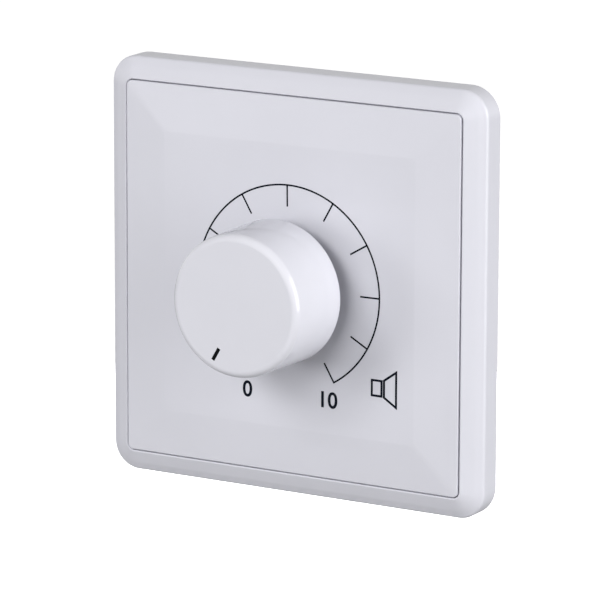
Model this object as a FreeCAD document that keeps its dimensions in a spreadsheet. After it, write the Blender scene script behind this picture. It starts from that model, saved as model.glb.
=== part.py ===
import FreeCAD, Part
import math
import os
import Sketcher
from FreeCAD import Vector

# A speaker volume control for a flush wall box: cover frame, domed centre plate and
# indexed knob in front, and behind them a support plate, a rotary switch, a circuit
# board, a tapped transformer and a terminal block.
#
# Frame of the part: the origin is the centre of the wall plane, on the knob's axis.
# +X is to the right, +Y goes into the wall and +Z is up, so the front faces -Y.
# A height is measured from the wall plane towards the front, and a depth into the wall.

SIZES = {
    # cover frame
    "frame_border": 4.25,
    "frame_corner": 5.8,
    "corner_taper": 0.6,
    "ridge_height": 4.45,
    "side_draft": 0.15,
    "crease_width": 1.55,
    "crease_rise": 0.93,
    "crease_taper": 1.3,
    "slope_rise": 2.11,
    "frame_wall": 1.8,
    "ridge_round": 1.8,
    "lip_round": 0.3,
    "ledge_width": 2.75,
    "ledge_thickness": 1.7,
    "channel_width": 1.5,
    "channel_depth": 3.0,
    # centre plate
    "plate_gap": 0.3,
    "plate_corner": 1.1,
    "dome_slope_width": 8.75,
    "dome_rise": 0.89,
    "dome_corner": 0.8,
    "plate_thickness": 2.2,
    "skirt_wall": 1.6,
    "skirt_seat_gap": 0.3,
    "shaft_hole_gap": 0.7,
    "leg_spacing": 44.0,
    "leg_pair_spacing": 18.0,
    "leg_width": 5.0,
    "leg_thickness": 1.3,
    "leg_hook": 0.7,
    "leg_nose": 1.5,
    "leg_slot_gap": 0.3,
    "rib_thickness": 1.0,
    "rib_gap": 0.6,
    "rib_ring_gap": 1.1,
    # knob
    "knob_rear_radius": 13.6,
    "knob_taper": 0.3,
    "knob_length": 14.9,
    "knob_gap": 4.25,
    "knob_edge_round": 1.4,
    "knob_wall": 1.8,
    "knob_face": 2.0,
    "hub_radius": 5.2,
    "hub_plate_gap": 1.6,
    "hub_slot_width": 0.8,
    "hub_slot_length": 6.0,
    "knob_ribs": 6.0,
    "knob_rib_thickness": 1.0,
    "knob_rib_set_back": 4.0,
    "ring_groove_depth": 0.6,
    "ring_wire": 0.9,
    "ring_set_back": 2.0,
    "ring_opening": 3.0,
    "pointer_inset": 2.1,
    "pointer_side_offset": 1.3,
    "pointer_length": 2.6,
    "pointer_width": 0.7,
    "pointer_depth": 0.2,
    # travel of the knob
    "rest_turn": 150.0,
    "travel": 300.0,
    "stop_gap_turn": 0.6,
    # support plate
    "support_over": 0.05,
    "support_corner": 4.0,
    "support_thickness": 1.2,
    "support_gap": 0.3,
    "box_screw_pitch": 60.0,
    "box_slot_width": 3.8,
    "box_slot_length": 7.5,
    "slot_margin": 1.75,
    "window_radius": 3.0,
    "window_inset": 10.5,
    # rotary switch
    "shaft_radius": 3.0,
    "shaft_flat": 1.5,
    "shaft_end_gap": 0.5,
    "running_gap": 0.04,
    "fit_gap": 0.05,
    "bush_radius": 5.0,
    "bush_over": 0.5,
    "bush_hole_gap": 0.1,
    "nut_across": 14.0,
    "nut_height": 2.2,
    "washer_radius": 7.8,
    "washer_thickness": 0.5,
    "spigot_radius": 1.3,
    "spigot_ring_gap": 0.1,
    "spigot_short": 0.2,
    "housing_radius": 13.0,
    "housing_wall": 1.5,
    "housing_front": 1.6,
    "housing_length": 8.6,
    "stop_ring_rim": 0.8,
    "stop_ring_thickness": 0.8,
    "stop_tab_width": 1.6,
    "stop_tab_reach": 2.8,
    "stop_radius": 7.2,
    "lug_width": 2.0,
    "lug_gap": 0.2,
    "rotor_clearance": 0.7,
    "rotor_gap": 1.8,
    "rotor_wall": 0.25,
    "ball_radius": 1.5,
    "groove_gap": 0.1,
    "groove_depth": 0.7,
    "detents": 12.0,
    "spring_wire": 0.4,
    "spring_turns": 7.0,
    "stub_radius": 2.0,
    "stub_length": 2.6,
    "wiper_rim": 0.3,
    "wiper_thickness": 0.3,
    "wiper_arm_width": 2.0,
    "contact_inset": 3.2,
    "common_radius": 3.5,
    "contact_tip_radius": 0.6,
    "rivet_radius": 1.1,
    "rivet_height": 0.4,
    "pin_radius": 0.5,
    "base_thickness": 2.0,
    # circuit board and what carries it
    "board_gap": 1.2,
    "board_radius": 27.5,
    "board_flat_margin": 1.5,
    "board_thickness": 1.6,
    "solder_length": 1.0,
    "pillar_inset": 3.46,
    "pillar_across": 5.5,
    "screw_radius": 1.45,
    "screw_head_radius": 2.75,
    "screw_head_height": 1.7,
    "screw_grip": 4.0,
    "screw_slot_width": 0.8,
    "screw_slot_depth": 0.8,
    "screw_hole_gap": 0.15,
    # transformer
    "core_gap": 2.0,
    "core_stack": 12.5,
    "core_limb": 5.0,
    "core_tongue": 10.0,
    "window_length": 15.0,
    "window_width": 5.0,
    "core_fit": 0.1,
    "bobbin_wall": 0.8,
    "flange_thickness": 1.0,
    "flange_rim": 4.45,
    "pin_block_width": 3.0,
    "bobbin_pin_pitch": 3.0,
    "bobbin_pin_count": 6.0,
    "bobbin_pin_radius": 0.4,
    "bobbin_pin_out": 0.8,
    "winding_gap": 0.1,
    "winding_inset": 0.9,
    "tape_thickness": 0.2,
    "clamp_thickness": 0.8,
    "clamp_width": 10.0,
    "clamp_ear": 7.2,
    "clamp_screw_in": 3.6,
    "clamp_nut_height": 2.4,
    "clamp_screw_over": 0.8,
    # terminal block
    "ways": 4.0,
    "terminal_pitch": 5.08,
    "block_wall": 0.83,
    "block_cheek": 1.7,
    "block_gap": 2.0,
    "cage_width": 4.0,
    "cage_height": 5.0,
    "cage_depth": 6.0,
    "cage_wall": 0.6,
    "block_floor": 2.0,
    "wire_opening": 2.8,
    "terminal_pin_radius": 0.5,
    "terminal_head_radius": 1.7,
    "terminal_head_height": 1.4,
    "terminal_head_sunk": 0.4,
    "terminal_screw_radius": 1.2,
}


class Size:
    """A length that knows its number and the expression that ties it to the sheet."""

    def __init__(self, number, text):
        self.number = float(number)
        self.text = text

    def __add__(self, other):
        other = as_size(other)
        return Size(self.number + other.number, f"({self.text} + {other.text})")

    def __radd__(self, other):
        return as_size(other) + self

    def __sub__(self, other):
        other = as_size(other)
        return Size(self.number - other.number, f"({self.text} - {other.text})")

    def __rsub__(self, other):
        return as_size(other) - self

    def __mul__(self, other):
        other = as_size(other)
        return Size(self.number * other.number, f"({self.text} * {other.text})")

    def __rmul__(self, other):
        return as_size(other) * self

    def __truediv__(self, other):
        other = as_size(other)
        return Size(self.number / other.number, f"({self.text} / {other.text})")

    def __neg__(self):
        return Size(-self.number, f"(0 - {self.text})")


def as_size(value):
    """A plain number as a size, and a size as it is."""
    if isinstance(value, Size):
        return value
    return Size(value, repr(float(value)))


class Sheet:
    """The driving sizes, each read by its name."""

    def __init__(self, document):
        sheet = document.addObject("Spreadsheet::Sheet", "sizes")
        for row, (name, number) in enumerate(SIZES.items(), start=1):
            sheet.set(f"A{row}", name)
            sheet.set(f"B{row}", str(number))
            sheet.setAlias(f"B{row}", name)
        document.recompute()
        for name in SIZES:
            setattr(self, name, Size(getattr(sheet, name), f"sizes.{name}"))


doc = FreeCAD.newDocument("volume_control")
size = Sheet(doc)
ZERO = as_size(0)
AXIS = (ZERO, ZERO)

# Heights in front of the wall plane, and depths behind it as negative heights.
# From the inside outwards: the box screws set the support plate, which sets the rest.
support_half = (size.box_screw_pitch + size.box_slot_length) / 2 + size.slot_margin
plate_half = support_half - size.support_over
opening_half = plate_half + size.plate_gap
frame_half = opening_half + size.frame_border
ridge_half = frame_half - size.side_draft
lip_height = size.ridge_height + size.slope_rise
ledge_front = size.support_thickness + size.ledge_thickness
ledge_half = opening_half - size.ledge_width
recess_half = support_half + size.support_gap
flat_half = plate_half - size.dome_slope_width
flat_height = lip_height + size.dome_rise
plate_inside = flat_height - size.plate_thickness
skirt_back = ledge_front + size.skirt_seat_gap
knob_rear = flat_height + size.knob_gap
knob_front = knob_rear + size.knob_length
knob_inside = knob_front - size.knob_face
knob_front_radius = size.knob_rear_radius - size.knob_taper
hub_back = flat_height + size.hub_plate_gap
shaft_front = knob_inside - size.shaft_end_gap
washer_front = size.support_thickness + size.washer_thickness
nut_front = washer_front + size.nut_height
bush_front = nut_front + size.bush_over
housing_face = -size.stop_ring_thickness
chamber_front = housing_face - size.housing_front
housing_rim = housing_face - size.housing_length
chamber_radius = size.housing_radius - size.housing_wall
rotor_radius = chamber_radius - size.rotor_clearance
rotor_thickness = 2 * (size.ball_radius + size.fit_gap + size.rotor_wall)
rotor_front = chamber_front - size.rotor_gap
rotor_back = rotor_front - rotor_thickness
contact_radius = rotor_radius - size.contact_inset
stop_ring_radius = size.stop_radius + size.stop_ring_thickness / 2 + size.stop_ring_rim
spigot_place = stop_ring_radius + size.spigot_ring_gap + size.spigot_radius
ball_height = rotor_front - rotor_thickness / 2
ball_place = chamber_radius - size.ball_radius - size.fit_gap
base_back = housing_rim - size.base_thickness
board_front = base_back - size.board_gap
board_back = board_front - size.board_thickness
core_front = board_back - size.core_gap
window_front = core_front - size.core_limb
window_back = window_front - size.window_length
core_back = window_back - size.core_limb
stack_half = size.core_stack / 2
window_side = size.core_tongue / 2 + size.window_width
core_half = window_side + size.core_limb
tube_inner_x = size.core_tongue / 2 + size.core_fit
tube_inner_z = stack_half + size.core_fit
tube_outer_x = tube_inner_x + size.bobbin_wall
tube_outer_z = tube_inner_z + size.bobbin_wall
flange_half_height = tube_outer_z + size.flange_rim
block_half_height = size.cage_height / 2 + size.block_cheek
block_half_width = ((size.ways - 1) * size.terminal_pitch + size.cage_width) / 2 + size.block_wall
block_place = flange_half_height + size.block_gap + block_half_height
board_flat_place = block_place + block_half_height + size.board_flat_margin


def new_body(name):
    """An empty body whose label names its file."""
    body = doc.addObject("PartDesign::Body", name)
    body.Label = name
    body.AllowCompound = True
    return body


def origin_feature(body, role):
    """One of the body's own origin planes or axes."""
    return next(item for item in body.Origin.OriginFeatures if item.Role == role)


def new_sketch(body, name, height=ZERO, role="XZ_Plane"):
    """A sketch facing the front at a height above the wall, or on another plane."""
    sketch = body.newObject("Sketcher::SketchObject", name)
    sketch.AttachmentSupport = [(origin_feature(body, role), "")]
    sketch.MapMode = "FlatFace"
    sketch.setExpression("AttachmentOffset.Base.z", height.text)
    return sketch


def pin(sketch, geometry, point, x=None, z=None):
    """Tie one point of a sketch to its distances from the sketch's origin."""
    for kind, distance in (("DistanceX", x), ("DistanceY", z)):
        if distance is None:
            continue
        constraint = Sketcher.Constraint(kind, -1, 1, geometry, point, distance.number)
        index = sketch.addConstraint(constraint)
        sketch.setExpression(f"Constraints[{index}]", distance.text)


def pin_radius(sketch, geometry, radius):
    """Tie the radius of a circle or an arc to the sheet."""
    index = sketch.addConstraint(Sketcher.Constraint("Radius", geometry, radius.number))
    sketch.setExpression(f"Constraints[{index}]", radius.text)


def join(sketch, first, first_point, second, second_point):
    """Make the ends of two lines or arcs one point."""
    sketch.addConstraint(Sketcher.Constraint("Coincident", first, first_point, second, second_point))


def circle(sketch, radius, place=AXIS):
    """A circle at a place given by its two distances."""
    x, z = place
    index = sketch.addGeometry(Part.Circle(Vector(x.number, z.number, 0), Vector(0, 0, 1), radius.number))
    pin(sketch, index, 3, x, z)
    pin_radius(sketch, index, radius)


def polygon(sketch, points):
    """A closed outline of straight lines whose corners are tied to the sheet."""
    lines = []
    for number, (x, z) in enumerate(points):
        end_x, end_z = points[(number + 1) % len(points)]
        segment = Part.LineSegment(Vector(x.number, z.number, 0), Vector(end_x.number, end_z.number, 0))
        lines.append(sketch.addGeometry(segment))
        pin(sketch, lines[-1], 1, x, z)
    for number, line in enumerate(lines):
        join(sketch, line, 2, lines[(number + 1) % len(lines)], 1)


def rectangle(sketch, half_x, half_z, place=AXIS):
    """A rectangle about a place."""
    x, z = place
    polygon(
        sketch,
        [
            (x - half_x, z - half_z),
            (x + half_x, z - half_z),
            (x + half_x, z + half_z),
            (x - half_x, z + half_z),
        ],
    )


def rounded_rectangle(sketch, half_x, half_z, radius, place=AXIS):
    """A rectangle with round corners, as four lines and four arcs."""
    x, z = place
    corners = [(1, -1, -90), (1, 1, 0), (-1, 1, 90), (-1, -1, 180)]
    arcs = []
    for side_x, side_z, start in corners:
        centre_x = x + side_x * (half_x - radius)
        centre_z = z + side_z * (half_z - radius)
        centre = Part.Circle(Vector(centre_x.number, centre_z.number, 0), Vector(0, 0, 1), radius.number)
        arc = Part.ArcOfCircle(centre, math.radians(start), math.radians(start + 90))
        index = sketch.addGeometry(arc)
        arcs.append(index)
        pin(sketch, index, 3, centre_x, centre_z)
        first_x = x + side_x * half_x if start in (0, 180) else centre_x
        first_z = centre_z if start in (0, 180) else z + side_z * half_z
        pin(sketch, index, 1, first_x, first_z)
        if start in (0, 180):
            pin(sketch, index, 2, x=centre_x)
        else:
            pin(sketch, index, 2, z=centre_z)
    for number, arc in enumerate(arcs):
        following = arcs[(number + 1) % 4]
        start_point = sketch.getPoint(arc, 2)
        end_point = sketch.getPoint(following, 1)
        line = sketch.addGeometry(Part.LineSegment(start_point, end_point))
        join(sketch, arc, 2, line, 1)
        join(sketch, line, 2, following, 1)


def slot(sketch, half_length, radius, place, along_x):
    """A slot with round ends about a place, along one of the sketch's directions."""
    x, z = place
    reach = half_length - radius
    ends = [(1, -90), (-1, 90)] if along_x else [(1, 0), (-1, 180)]
    arcs = []
    for side, start in ends:
        centre_x = x + side * reach if along_x else x
        centre_z = z if along_x else z + side * reach
        centre = Part.Circle(Vector(centre_x.number, centre_z.number, 0), Vector(0, 0, 1), radius.number)
        arc = Part.ArcOfCircle(centre, math.radians(start), math.radians(start + 180))
        index = sketch.addGeometry(arc)
        arcs.append(index)
        pin(sketch, index, 3, centre_x, centre_z)
        if along_x:
            pin(sketch, index, 1, centre_x, centre_z - side * radius)
            pin(sketch, index, 2, x=centre_x)
        else:
            pin(sketch, index, 1, centre_x + side * radius, centre_z)
            pin(sketch, index, 2, z=centre_z)
    for first, second in ((arcs[0], arcs[1]), (arcs[1], arcs[0])):
        line = sketch.addGeometry(Part.LineSegment(sketch.getPoint(first, 2), sketch.getPoint(second, 1)))
        join(sketch, first, 2, line, 1)
        join(sketch, line, 2, second, 1)


def hexagon(sketch, across, place=AXIS):
    """A hexagon given by its width across flats, with two corners up and down."""
    x, z = place
    corner = across / math.sqrt(3)
    turns = [math.radians(60 * number + 30) for number in range(6)]
    polygon(sketch, [(x + corner * math.cos(turn), z + corner * math.sin(turn)) for turn in turns])


def flatted_circle(sketch, radius, flat):
    """A circle cut off by a level line below its centre, for a shaft with a flat."""
    drop = math.asin(flat.number / radius.number)
    whole = Part.Circle(Vector(0, 0, 0), Vector(0, 0, 1), radius.number)
    arc = sketch.addGeometry(Part.ArcOfCircle(whole, -drop, math.pi + drop))
    pin(sketch, arc, 3, ZERO, ZERO)
    pin_radius(sketch, arc, radius)
    pin(sketch, arc, 1, z=-flat)
    pin(sketch, arc, 2, z=-flat)
    line = sketch.addGeometry(Part.LineSegment(sketch.getPoint(arc, 2), sketch.getPoint(arc, 1)))
    join(sketch, arc, 2, line, 1)
    join(sketch, line, 2, arc, 1)


def pad(body, sketch, length, name, reverse=False, middle=False):
    """Raise a sketch's outline towards the front."""
    feature = body.newObject("PartDesign::Pad", name)
    feature.Profile = sketch
    feature.setExpression("Length", length.text)
    feature.Reversed = reverse
    if middle:
        feature.SideType = "Symmetric"
    body.Tip = feature
    return feature


def pocket(body, sketch, length, name, reverse=False, middle=False):
    """Cut a sketch's outline away, from the sketch into the wall unless reversed."""
    feature = body.newObject("PartDesign::Pocket", name)
    feature.Profile = sketch
    feature.setExpression("Length", length.text)
    feature.Reversed = reverse
    if middle:
        feature.SideType = "Symmetric"
    body.Tip = feature
    return feature


def turned_sketch(body, name, points, x=ZERO, z=ZERO):
    """A profile of (radius, height) points beside an axis that stands on the wall at x, z."""
    sketch = new_sketch(body, name, z, "XY_Plane")
    polygon(sketch, [(x + radius, -height) for radius, height in points])
    ends = (-size.shaft_radius, size.shaft_radius)
    segment = Part.LineSegment(*[Vector(x.number, end.number, 0) for end in ends])
    axis = sketch.addGeometry(segment, True)
    for point, end in enumerate(ends, start=1):
        pin(sketch, axis, point, x, end)
    return sketch


def revolve(body, name, points, x=ZERO, z=ZERO, turn=360, middle=False):
    """Turn a profile of (radius, height) points about an axis that stands on the wall."""
    sketch = turned_sketch(body, name + "_profile", points, x, z)
    feature = body.newObject("PartDesign::Revolution", name)
    feature.Profile = sketch
    feature.ReferenceAxis = (sketch, ["Axis0"])
    feature.Angle = turn
    feature.Midplane = middle
    body.Tip = feature
    return feature


def groove(body, name, points):
    """Cut a ring of the given (radius, height) profile about the knob's axis."""
    sketch = turned_sketch(body, name + "_profile", points)
    feature = body.newObject("PartDesign::Groove", name)
    feature.Profile = sketch
    feature.ReferenceAxis = (sketch, ["Axis0"])
    feature.Angle = 360
    body.Tip = feature
    return feature


def around_axis(body, originals, count, name):
    """Repeat features evenly about the knob's axis."""
    pattern = body.newObject("PartDesign::PolarPattern", name)
    pattern.Originals = originals
    pattern.Axis = (origin_feature(body, "Y_Axis"), [""])
    pattern.Angle = 360
    pattern.setExpression("Occurrences", count.text)
    body.Tip = pattern
    return pattern


def edges_at(body, test):
    """The names of the edges of a body's shape whose every sampled point passes a test."""
    doc.recompute()
    names = []
    for number, edge in enumerate(body.Shape.Edges, start=1):
        points = edge.discretize(Number=5)
        if all(test(point) for point in points):
            names.append(f"Edge{number}")
    return names


def dress(body, kind, test, name, amount):
    """Round or bevel the edges of a body that pass a test."""
    edges = edges_at(body, test)
    base = body.Tip
    feature = body.newObject(f"PartDesign::{kind}", name)
    feature.Base = (base, edges)
    feature.setExpression("Radius" if kind == "Fillet" else "Size", amount.text)
    body.Tip = feature
    return feature


def near(value, wanted, tolerance=0.01):
    """Is a number within a small distance of another?"""
    return abs(value - as_size(wanted).number) < tolerance


def ruled_loft(body, name, sections):
    """Join outlines at rising heights by straight surfaces."""
    feature = body.newObject("PartDesign::AdditiveLoft", name)
    feature.Profile = sections[0]
    feature.Sections = sections[1:]
    feature.Ruled = True
    body.Tip = feature
    return feature


def square_section(body, name, half, radius, height):
    """A square with round corners at a height above the wall."""
    sketch = new_sketch(body, name, height)
    rounded_rectangle(sketch, half, half, radius)
    return sketch


def four_places(place_x, place_z):
    """A place repeated in the four quarters."""
    return [(side_x * place_x, side_z * place_z) for side_x in (-1, 1) for side_z in (-1, 1)]


def row_places(count, pitch, z):
    """Evenly spaced places in a row along X, centred on the axis."""
    total = round(count.number)
    return [((number - (total - 1) / 2) * pitch, z) for number in range(total)]


def turn_to_rest(body):
    """Turn a piece of the knob's body, drawn with the pointer up, to the first position."""
    turn = FreeCAD.Rotation(Vector(0, 1, 0), -size.rest_turn.number)
    body.Placement = FreeCAD.Placement(Vector(0, 0, 0), turn)
    body.setExpression("Placement.Rotation.Angle", f"0 - {size.rest_turn.text}")


def cover_frame():
    """A moulded square ring: drafted sides, a ridge, and a creased slope down to the lip."""
    body = new_body("cover_frame")
    ridge_corner = size.frame_corner - size.corner_taper
    crease_half = ridge_half - size.crease_width
    crease_height = size.ridge_height + size.crease_rise
    crease_corner = ridge_corner - size.crease_taper
    lip_corner = size.plate_corner + size.plate_gap
    sections = [
        square_section(body, "wall_outline", frame_half, size.frame_corner, ZERO),
        square_section(body, "ridge_outline", ridge_half, ridge_corner, size.ridge_height),
        square_section(body, "crease_outline", crease_half, crease_corner, crease_height),
        square_section(body, "lip_outline", opening_half, lip_corner, lip_height),
    ]
    ruled_loft(body, "outer_form", sections)
    opening = square_section(body, "opening_outline", opening_half, lip_corner, lip_height)
    pocket(body, opening, lip_height - ledge_front, "opening")
    throat = square_section(body, "throat_outline", ledge_half, size.support_corner, lip_height)
    pocket(body, throat, lip_height, "throat")
    recess = square_section(body, "recess_outline", recess_half, size.support_corner, ZERO)
    pocket(body, recess, size.support_thickness, "recess", reverse=True)
    channel_outer = frame_half - size.frame_wall
    channel_inner = channel_outer - size.channel_width
    channel_corner = size.frame_corner - size.frame_wall
    channel = square_section(body, "channel_outline", channel_outer, channel_corner, ZERO)
    rounded_rectangle(channel, channel_inner, channel_inner, size.support_corner)
    pocket(body, channel, size.channel_depth, "back_channel", reverse=True)

    def on_ridge(point):
        return near(-point.y, size.ridge_height)

    def on_lip(point):
        return near(-point.y, lip_height)

    dress(body, "Fillet", on_ridge, "ridge_rounding", size.ridge_round)
    dress(body, "Fillet", on_lip, "lip_rounding", size.lip_round)
    return body


leg_places = four_places(size.leg_spacing / 2, size.leg_pair_spacing / 2)


def centre_plate():
    """A thin domed plate with a skirt, four hooked legs and ribs round the nut."""
    body = new_body("centre_plate")
    sections = [
        square_section(body, "skirt_outline", plate_half, size.plate_corner, skirt_back),
        square_section(body, "edge_outline", plate_half, size.plate_corner, lip_height),
        square_section(body, "flat_outline", flat_half, size.dome_corner, flat_height),
    ]
    ruled_loft(body, "domed_form", sections)
    inside_half = plate_half - size.skirt_wall
    inside = square_section(body, "inside_outline", inside_half, size.plate_corner, skirt_back)
    pocket(body, inside, plate_inside - skirt_back, "hollow", reverse=True)

    ring = new_sketch(body, "rib_ring_outline", size.support_thickness + size.rib_gap)
    nut_corner = size.nut_across / math.sqrt(3)
    ring_inside = nut_corner + size.rib_ring_gap
    circle(ring, ring_inside + size.rib_thickness)
    circle(ring, ring_inside)
    rib_length = plate_inside - size.support_thickness - size.rib_gap
    pad(body, ring, rib_length, "rib_ring")
    ribs = new_sketch(body, "rib_outline", skirt_back)
    rib_start = ring_inside + size.rib_thickness / 2
    rib_half_length = (inside_half - rib_start) / 2
    rib_middle = rib_start + rib_half_length
    for side in (-1, 1):
        rectangle(ribs, rib_half_length, size.rib_thickness / 2, (side * rib_middle, ZERO))
        rectangle(ribs, size.rib_thickness / 2, rib_half_length, (ZERO, side * rib_middle))
    pad(body, ribs, plate_inside - skirt_back, "cross_ribs")

    legs = new_sketch(body, "leg_outline", -size.leg_nose)
    for place in leg_places:
        rectangle(legs, size.leg_thickness / 2, size.leg_width / 2, place)
    pad(body, legs, plate_inside + size.leg_nose, "legs")
    hooks = new_sketch(body, "hook_outline", -size.leg_nose)
    for x, z in leg_places:
        side = math.copysign(1, x.number)
        hook_x = x + side * (size.leg_thickness + size.leg_hook) / 2
        rectangle(hooks, size.leg_hook / 2, size.leg_width / 2, (hook_x, z))
    pad(body, hooks, size.leg_nose - size.leg_slot_gap, "hooks")

    hole = new_sketch(body, "shaft_hole_outline", flat_height)
    circle(hole, size.shaft_radius + size.shaft_hole_gap)
    pocket(body, hole, size.plate_thickness, "shaft_hole")
    return body


def knob():
    """A hollow moulded knob with a ribbed, split hub and a sunk pointer mark."""
    body = new_body("knob")
    profile = [
        (ZERO, knob_front),
        (knob_front_radius, knob_front),
        (size.knob_rear_radius, knob_rear),
        (ZERO, knob_rear),
    ]
    revolve(body, "outer_form", profile)

    def on_face_edge(point):
        return near(-point.y, knob_front)

    dress(body, "Fillet", on_face_edge, "face_rounding", size.knob_edge_round)
    hollow = new_sketch(body, "hollow_outline", knob_rear)
    hollow_radius = knob_front_radius - size.knob_wall
    circle(hollow, hollow_radius)
    pocket(body, hollow, knob_inside - knob_rear, "hollow", reverse=True)
    hub = new_sketch(body, "hub_outline", hub_back)
    circle(hub, size.hub_radius)
    pad(body, hub, knob_inside - hub_back, "hub")
    rib = new_sketch(body, "rib_outline", knob_rear + size.knob_rib_set_back)
    rib_start = size.hub_radius - size.knob_wall / 2
    rib_half_length = (hollow_radius + size.knob_wall / 2 - rib_start) / 2
    rectangle(rib, rib_half_length, size.knob_rib_thickness / 2, (rib_start + rib_half_length, ZERO))
    first_rib = pad(body, rib, knob_inside - knob_rear - size.knob_rib_set_back, "rib")
    around_axis(body, [first_rib], size.knob_ribs, "ribs")
    bore = new_sketch(body, "bore_outline", hub_back)
    flatted_circle(bore, size.shaft_radius + size.running_gap, size.shaft_flat + size.running_gap)
    pocket(body, bore, knob_inside - hub_back, "bore", reverse=True)
    split = new_sketch(body, "split_outline", hub_back)
    rectangle(split, size.hub_slot_width / 2, size.hub_radius + size.fit_gap)
    pocket(body, split, size.hub_slot_length, "hub_split", reverse=True)
    ring_back = hub_back + size.ring_set_back
    ring_front = ring_back + size.ring_wire + 2 * size.fit_gap
    outside = size.hub_radius + size.knob_wall / 2
    ring_floor = size.hub_radius - size.ring_groove_depth
    ring_profile = [
        (ring_floor, ring_back),
        (outside, ring_back),
        (outside, ring_front),
        (ring_floor, ring_front),
    ]
    groove(body, "ring_groove", ring_profile)
    mark = new_sketch(body, "pointer_outline", knob_front)
    half_length = size.pointer_length / 2
    mark_place = knob_front_radius - size.pointer_inset - half_length
    mark_side = ZERO - size.pointer_side_offset
    rectangle(mark, size.pointer_width / 2, half_length, (mark_side, mark_place))
    pocket(body, mark, size.pointer_depth, "pointer_mark")
    turn_to_rest(body)
    return body


def knob_spring():
    """An open ring of spring wire that closes the knob's split hub on the shaft."""
    body = new_body("knob_spring")
    inner = size.hub_radius - size.ring_groove_depth + size.fit_gap
    back = hub_back + size.ring_set_back + size.fit_gap
    front = back + size.ring_wire
    outer = inner + size.ring_wire
    revolve(body, "ring", [(inner, back), (outer, back), (outer, front), (inner, front)])
    opening = new_sketch(body, "opening_outline", front)
    rectangle(opening, size.ring_opening / 2, size.hub_radius / 2, (ZERO, size.hub_radius))
    pocket(body, opening, size.ring_wire, "opening")
    turn_to_rest(body)
    return body


pillar_offset = (size.board_radius - size.pillar_inset) / math.sqrt(2)
pillar_places = four_places(pillar_offset, pillar_offset)
screw_hole = size.screw_radius + size.screw_hole_gap


def support_plate():
    """A sheet steel square with box screw slots, leg slots and the switch's hole."""
    body = new_body("support_plate")
    outline = square_section(body, "plate_outline", support_half, size.support_corner, ZERO)
    pad(body, outline, size.support_thickness, "sheet")
    holes = new_sketch(body, "hole_outlines", size.support_thickness)
    circle(holes, size.bush_radius + size.bush_hole_gap)
    circle(holes, size.spigot_radius + size.bush_hole_gap, (ZERO, spigot_place))
    for place in pillar_places:
        circle(holes, screw_hole, place)
    window_place = support_half - size.window_inset
    for place in four_places(window_place, window_place):
        circle(holes, size.window_radius, place)
    pocket(body, holes, size.support_thickness, "round_holes")
    slots = new_sketch(body, "slot_outlines", size.support_thickness)
    box_place = size.box_screw_pitch / 2
    half_length = size.box_slot_length / 2
    half_width = size.box_slot_width / 2
    for side in (-1, 1):
        slot(slots, half_length, half_width, (side * box_place, ZERO), along_x=True)
        slot(slots, half_length, half_width, (ZERO, side * box_place), along_x=False)
    pocket(body, slots, size.support_thickness, "box_screw_slots")
    leg_slots = new_sketch(body, "leg_slot_outlines", size.support_thickness)
    slot_half_x = (size.leg_thickness + size.leg_hook) / 2 + size.leg_slot_gap
    for x, z in leg_places:
        side = math.copysign(1, x.number)
        slot_x = x - side * (size.leg_hook / 2)
        rectangle(leg_slots, slot_half_x, size.leg_width / 2 + size.leg_slot_gap, (slot_x, z))
    pocket(body, leg_slots, size.support_thickness, "leg_slots")
    return body


spigot_front = size.support_thickness - size.spigot_short


def switch_housing():
    """A moulded cup with a bush, a locating spigot, detent grooves and a slot for the stop."""
    body = new_body("switch_housing")
    shaft_hole = size.shaft_radius + size.running_gap
    profile = [
        (shaft_hole, bush_front),
        (size.bush_radius, bush_front),
        (size.bush_radius, housing_face),
        (size.housing_radius, housing_face),
        (size.housing_radius, housing_rim),
        (chamber_radius, housing_rim),
        (chamber_radius, chamber_front),
        (shaft_hole, chamber_front),
    ]
    revolve(body, "cup_and_bush", profile)
    spigot = new_sketch(body, "spigot_outline", housing_face)
    circle(spigot, size.spigot_radius, (ZERO, spigot_place))
    pad(body, spigot, spigot_front - housing_face, "spigot")
    groove_outline = new_sketch(body, "groove_outline", housing_rim)
    groove_radius = size.ball_radius + size.groove_gap
    groove_centre = chamber_radius + size.groove_depth - groove_radius
    circle(groove_outline, groove_radius, (ZERO, groove_centre))
    groove_length = ball_height + groove_radius - housing_rim
    first_groove = pocket(body, groove_outline, groove_length, "detent_groove", reverse=True)
    around_axis(body, [first_groove], size.detents, "detent_grooves")
    tab_slot = new_sketch(body, "tab_slot_outline", housing_face)
    tab_half = size.stop_tab_width / 2 + size.fit_gap
    tab_thick_half = size.stop_ring_thickness / 2 + size.fit_gap
    rectangle(tab_slot, tab_half, tab_thick_half, (ZERO, -size.stop_radius))
    pocket(body, tab_slot, size.housing_front, "tab_slot")
    return body


def stop_ring():
    """A flat ring on the bush whose bent tab reaches into the housing and ends the travel."""
    body = new_body("stop_ring")
    ring = new_sketch(body, "ring_outline", housing_face)
    circle(ring, stop_ring_radius)
    circle(ring, size.bush_radius + size.fit_gap)
    pad(body, ring, size.stop_ring_thickness, "ring")
    tab = new_sketch(body, "tab_outline", housing_face - size.stop_tab_reach)
    rectangle(tab, size.stop_tab_width / 2, size.stop_ring_thickness / 2, (ZERO, -size.stop_radius))
    pad(body, tab, size.stop_tab_reach + size.stop_ring_thickness, "tab")
    return body


def lock_washer():
    """An open spring washer under the nut."""
    body = new_body("lock_washer")
    ring = new_sketch(body, "ring_outline", size.support_thickness)
    circle(ring, size.washer_radius)
    circle(ring, size.bush_radius + size.bush_hole_gap)
    pad(body, ring, size.washer_thickness, "ring")
    gap = new_sketch(body, "gap_outline", washer_front)
    rectangle(gap, size.washer_thickness, size.washer_radius / 2, (ZERO, size.washer_radius))
    pocket(body, gap, size.washer_thickness, "opening")
    return body


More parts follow.
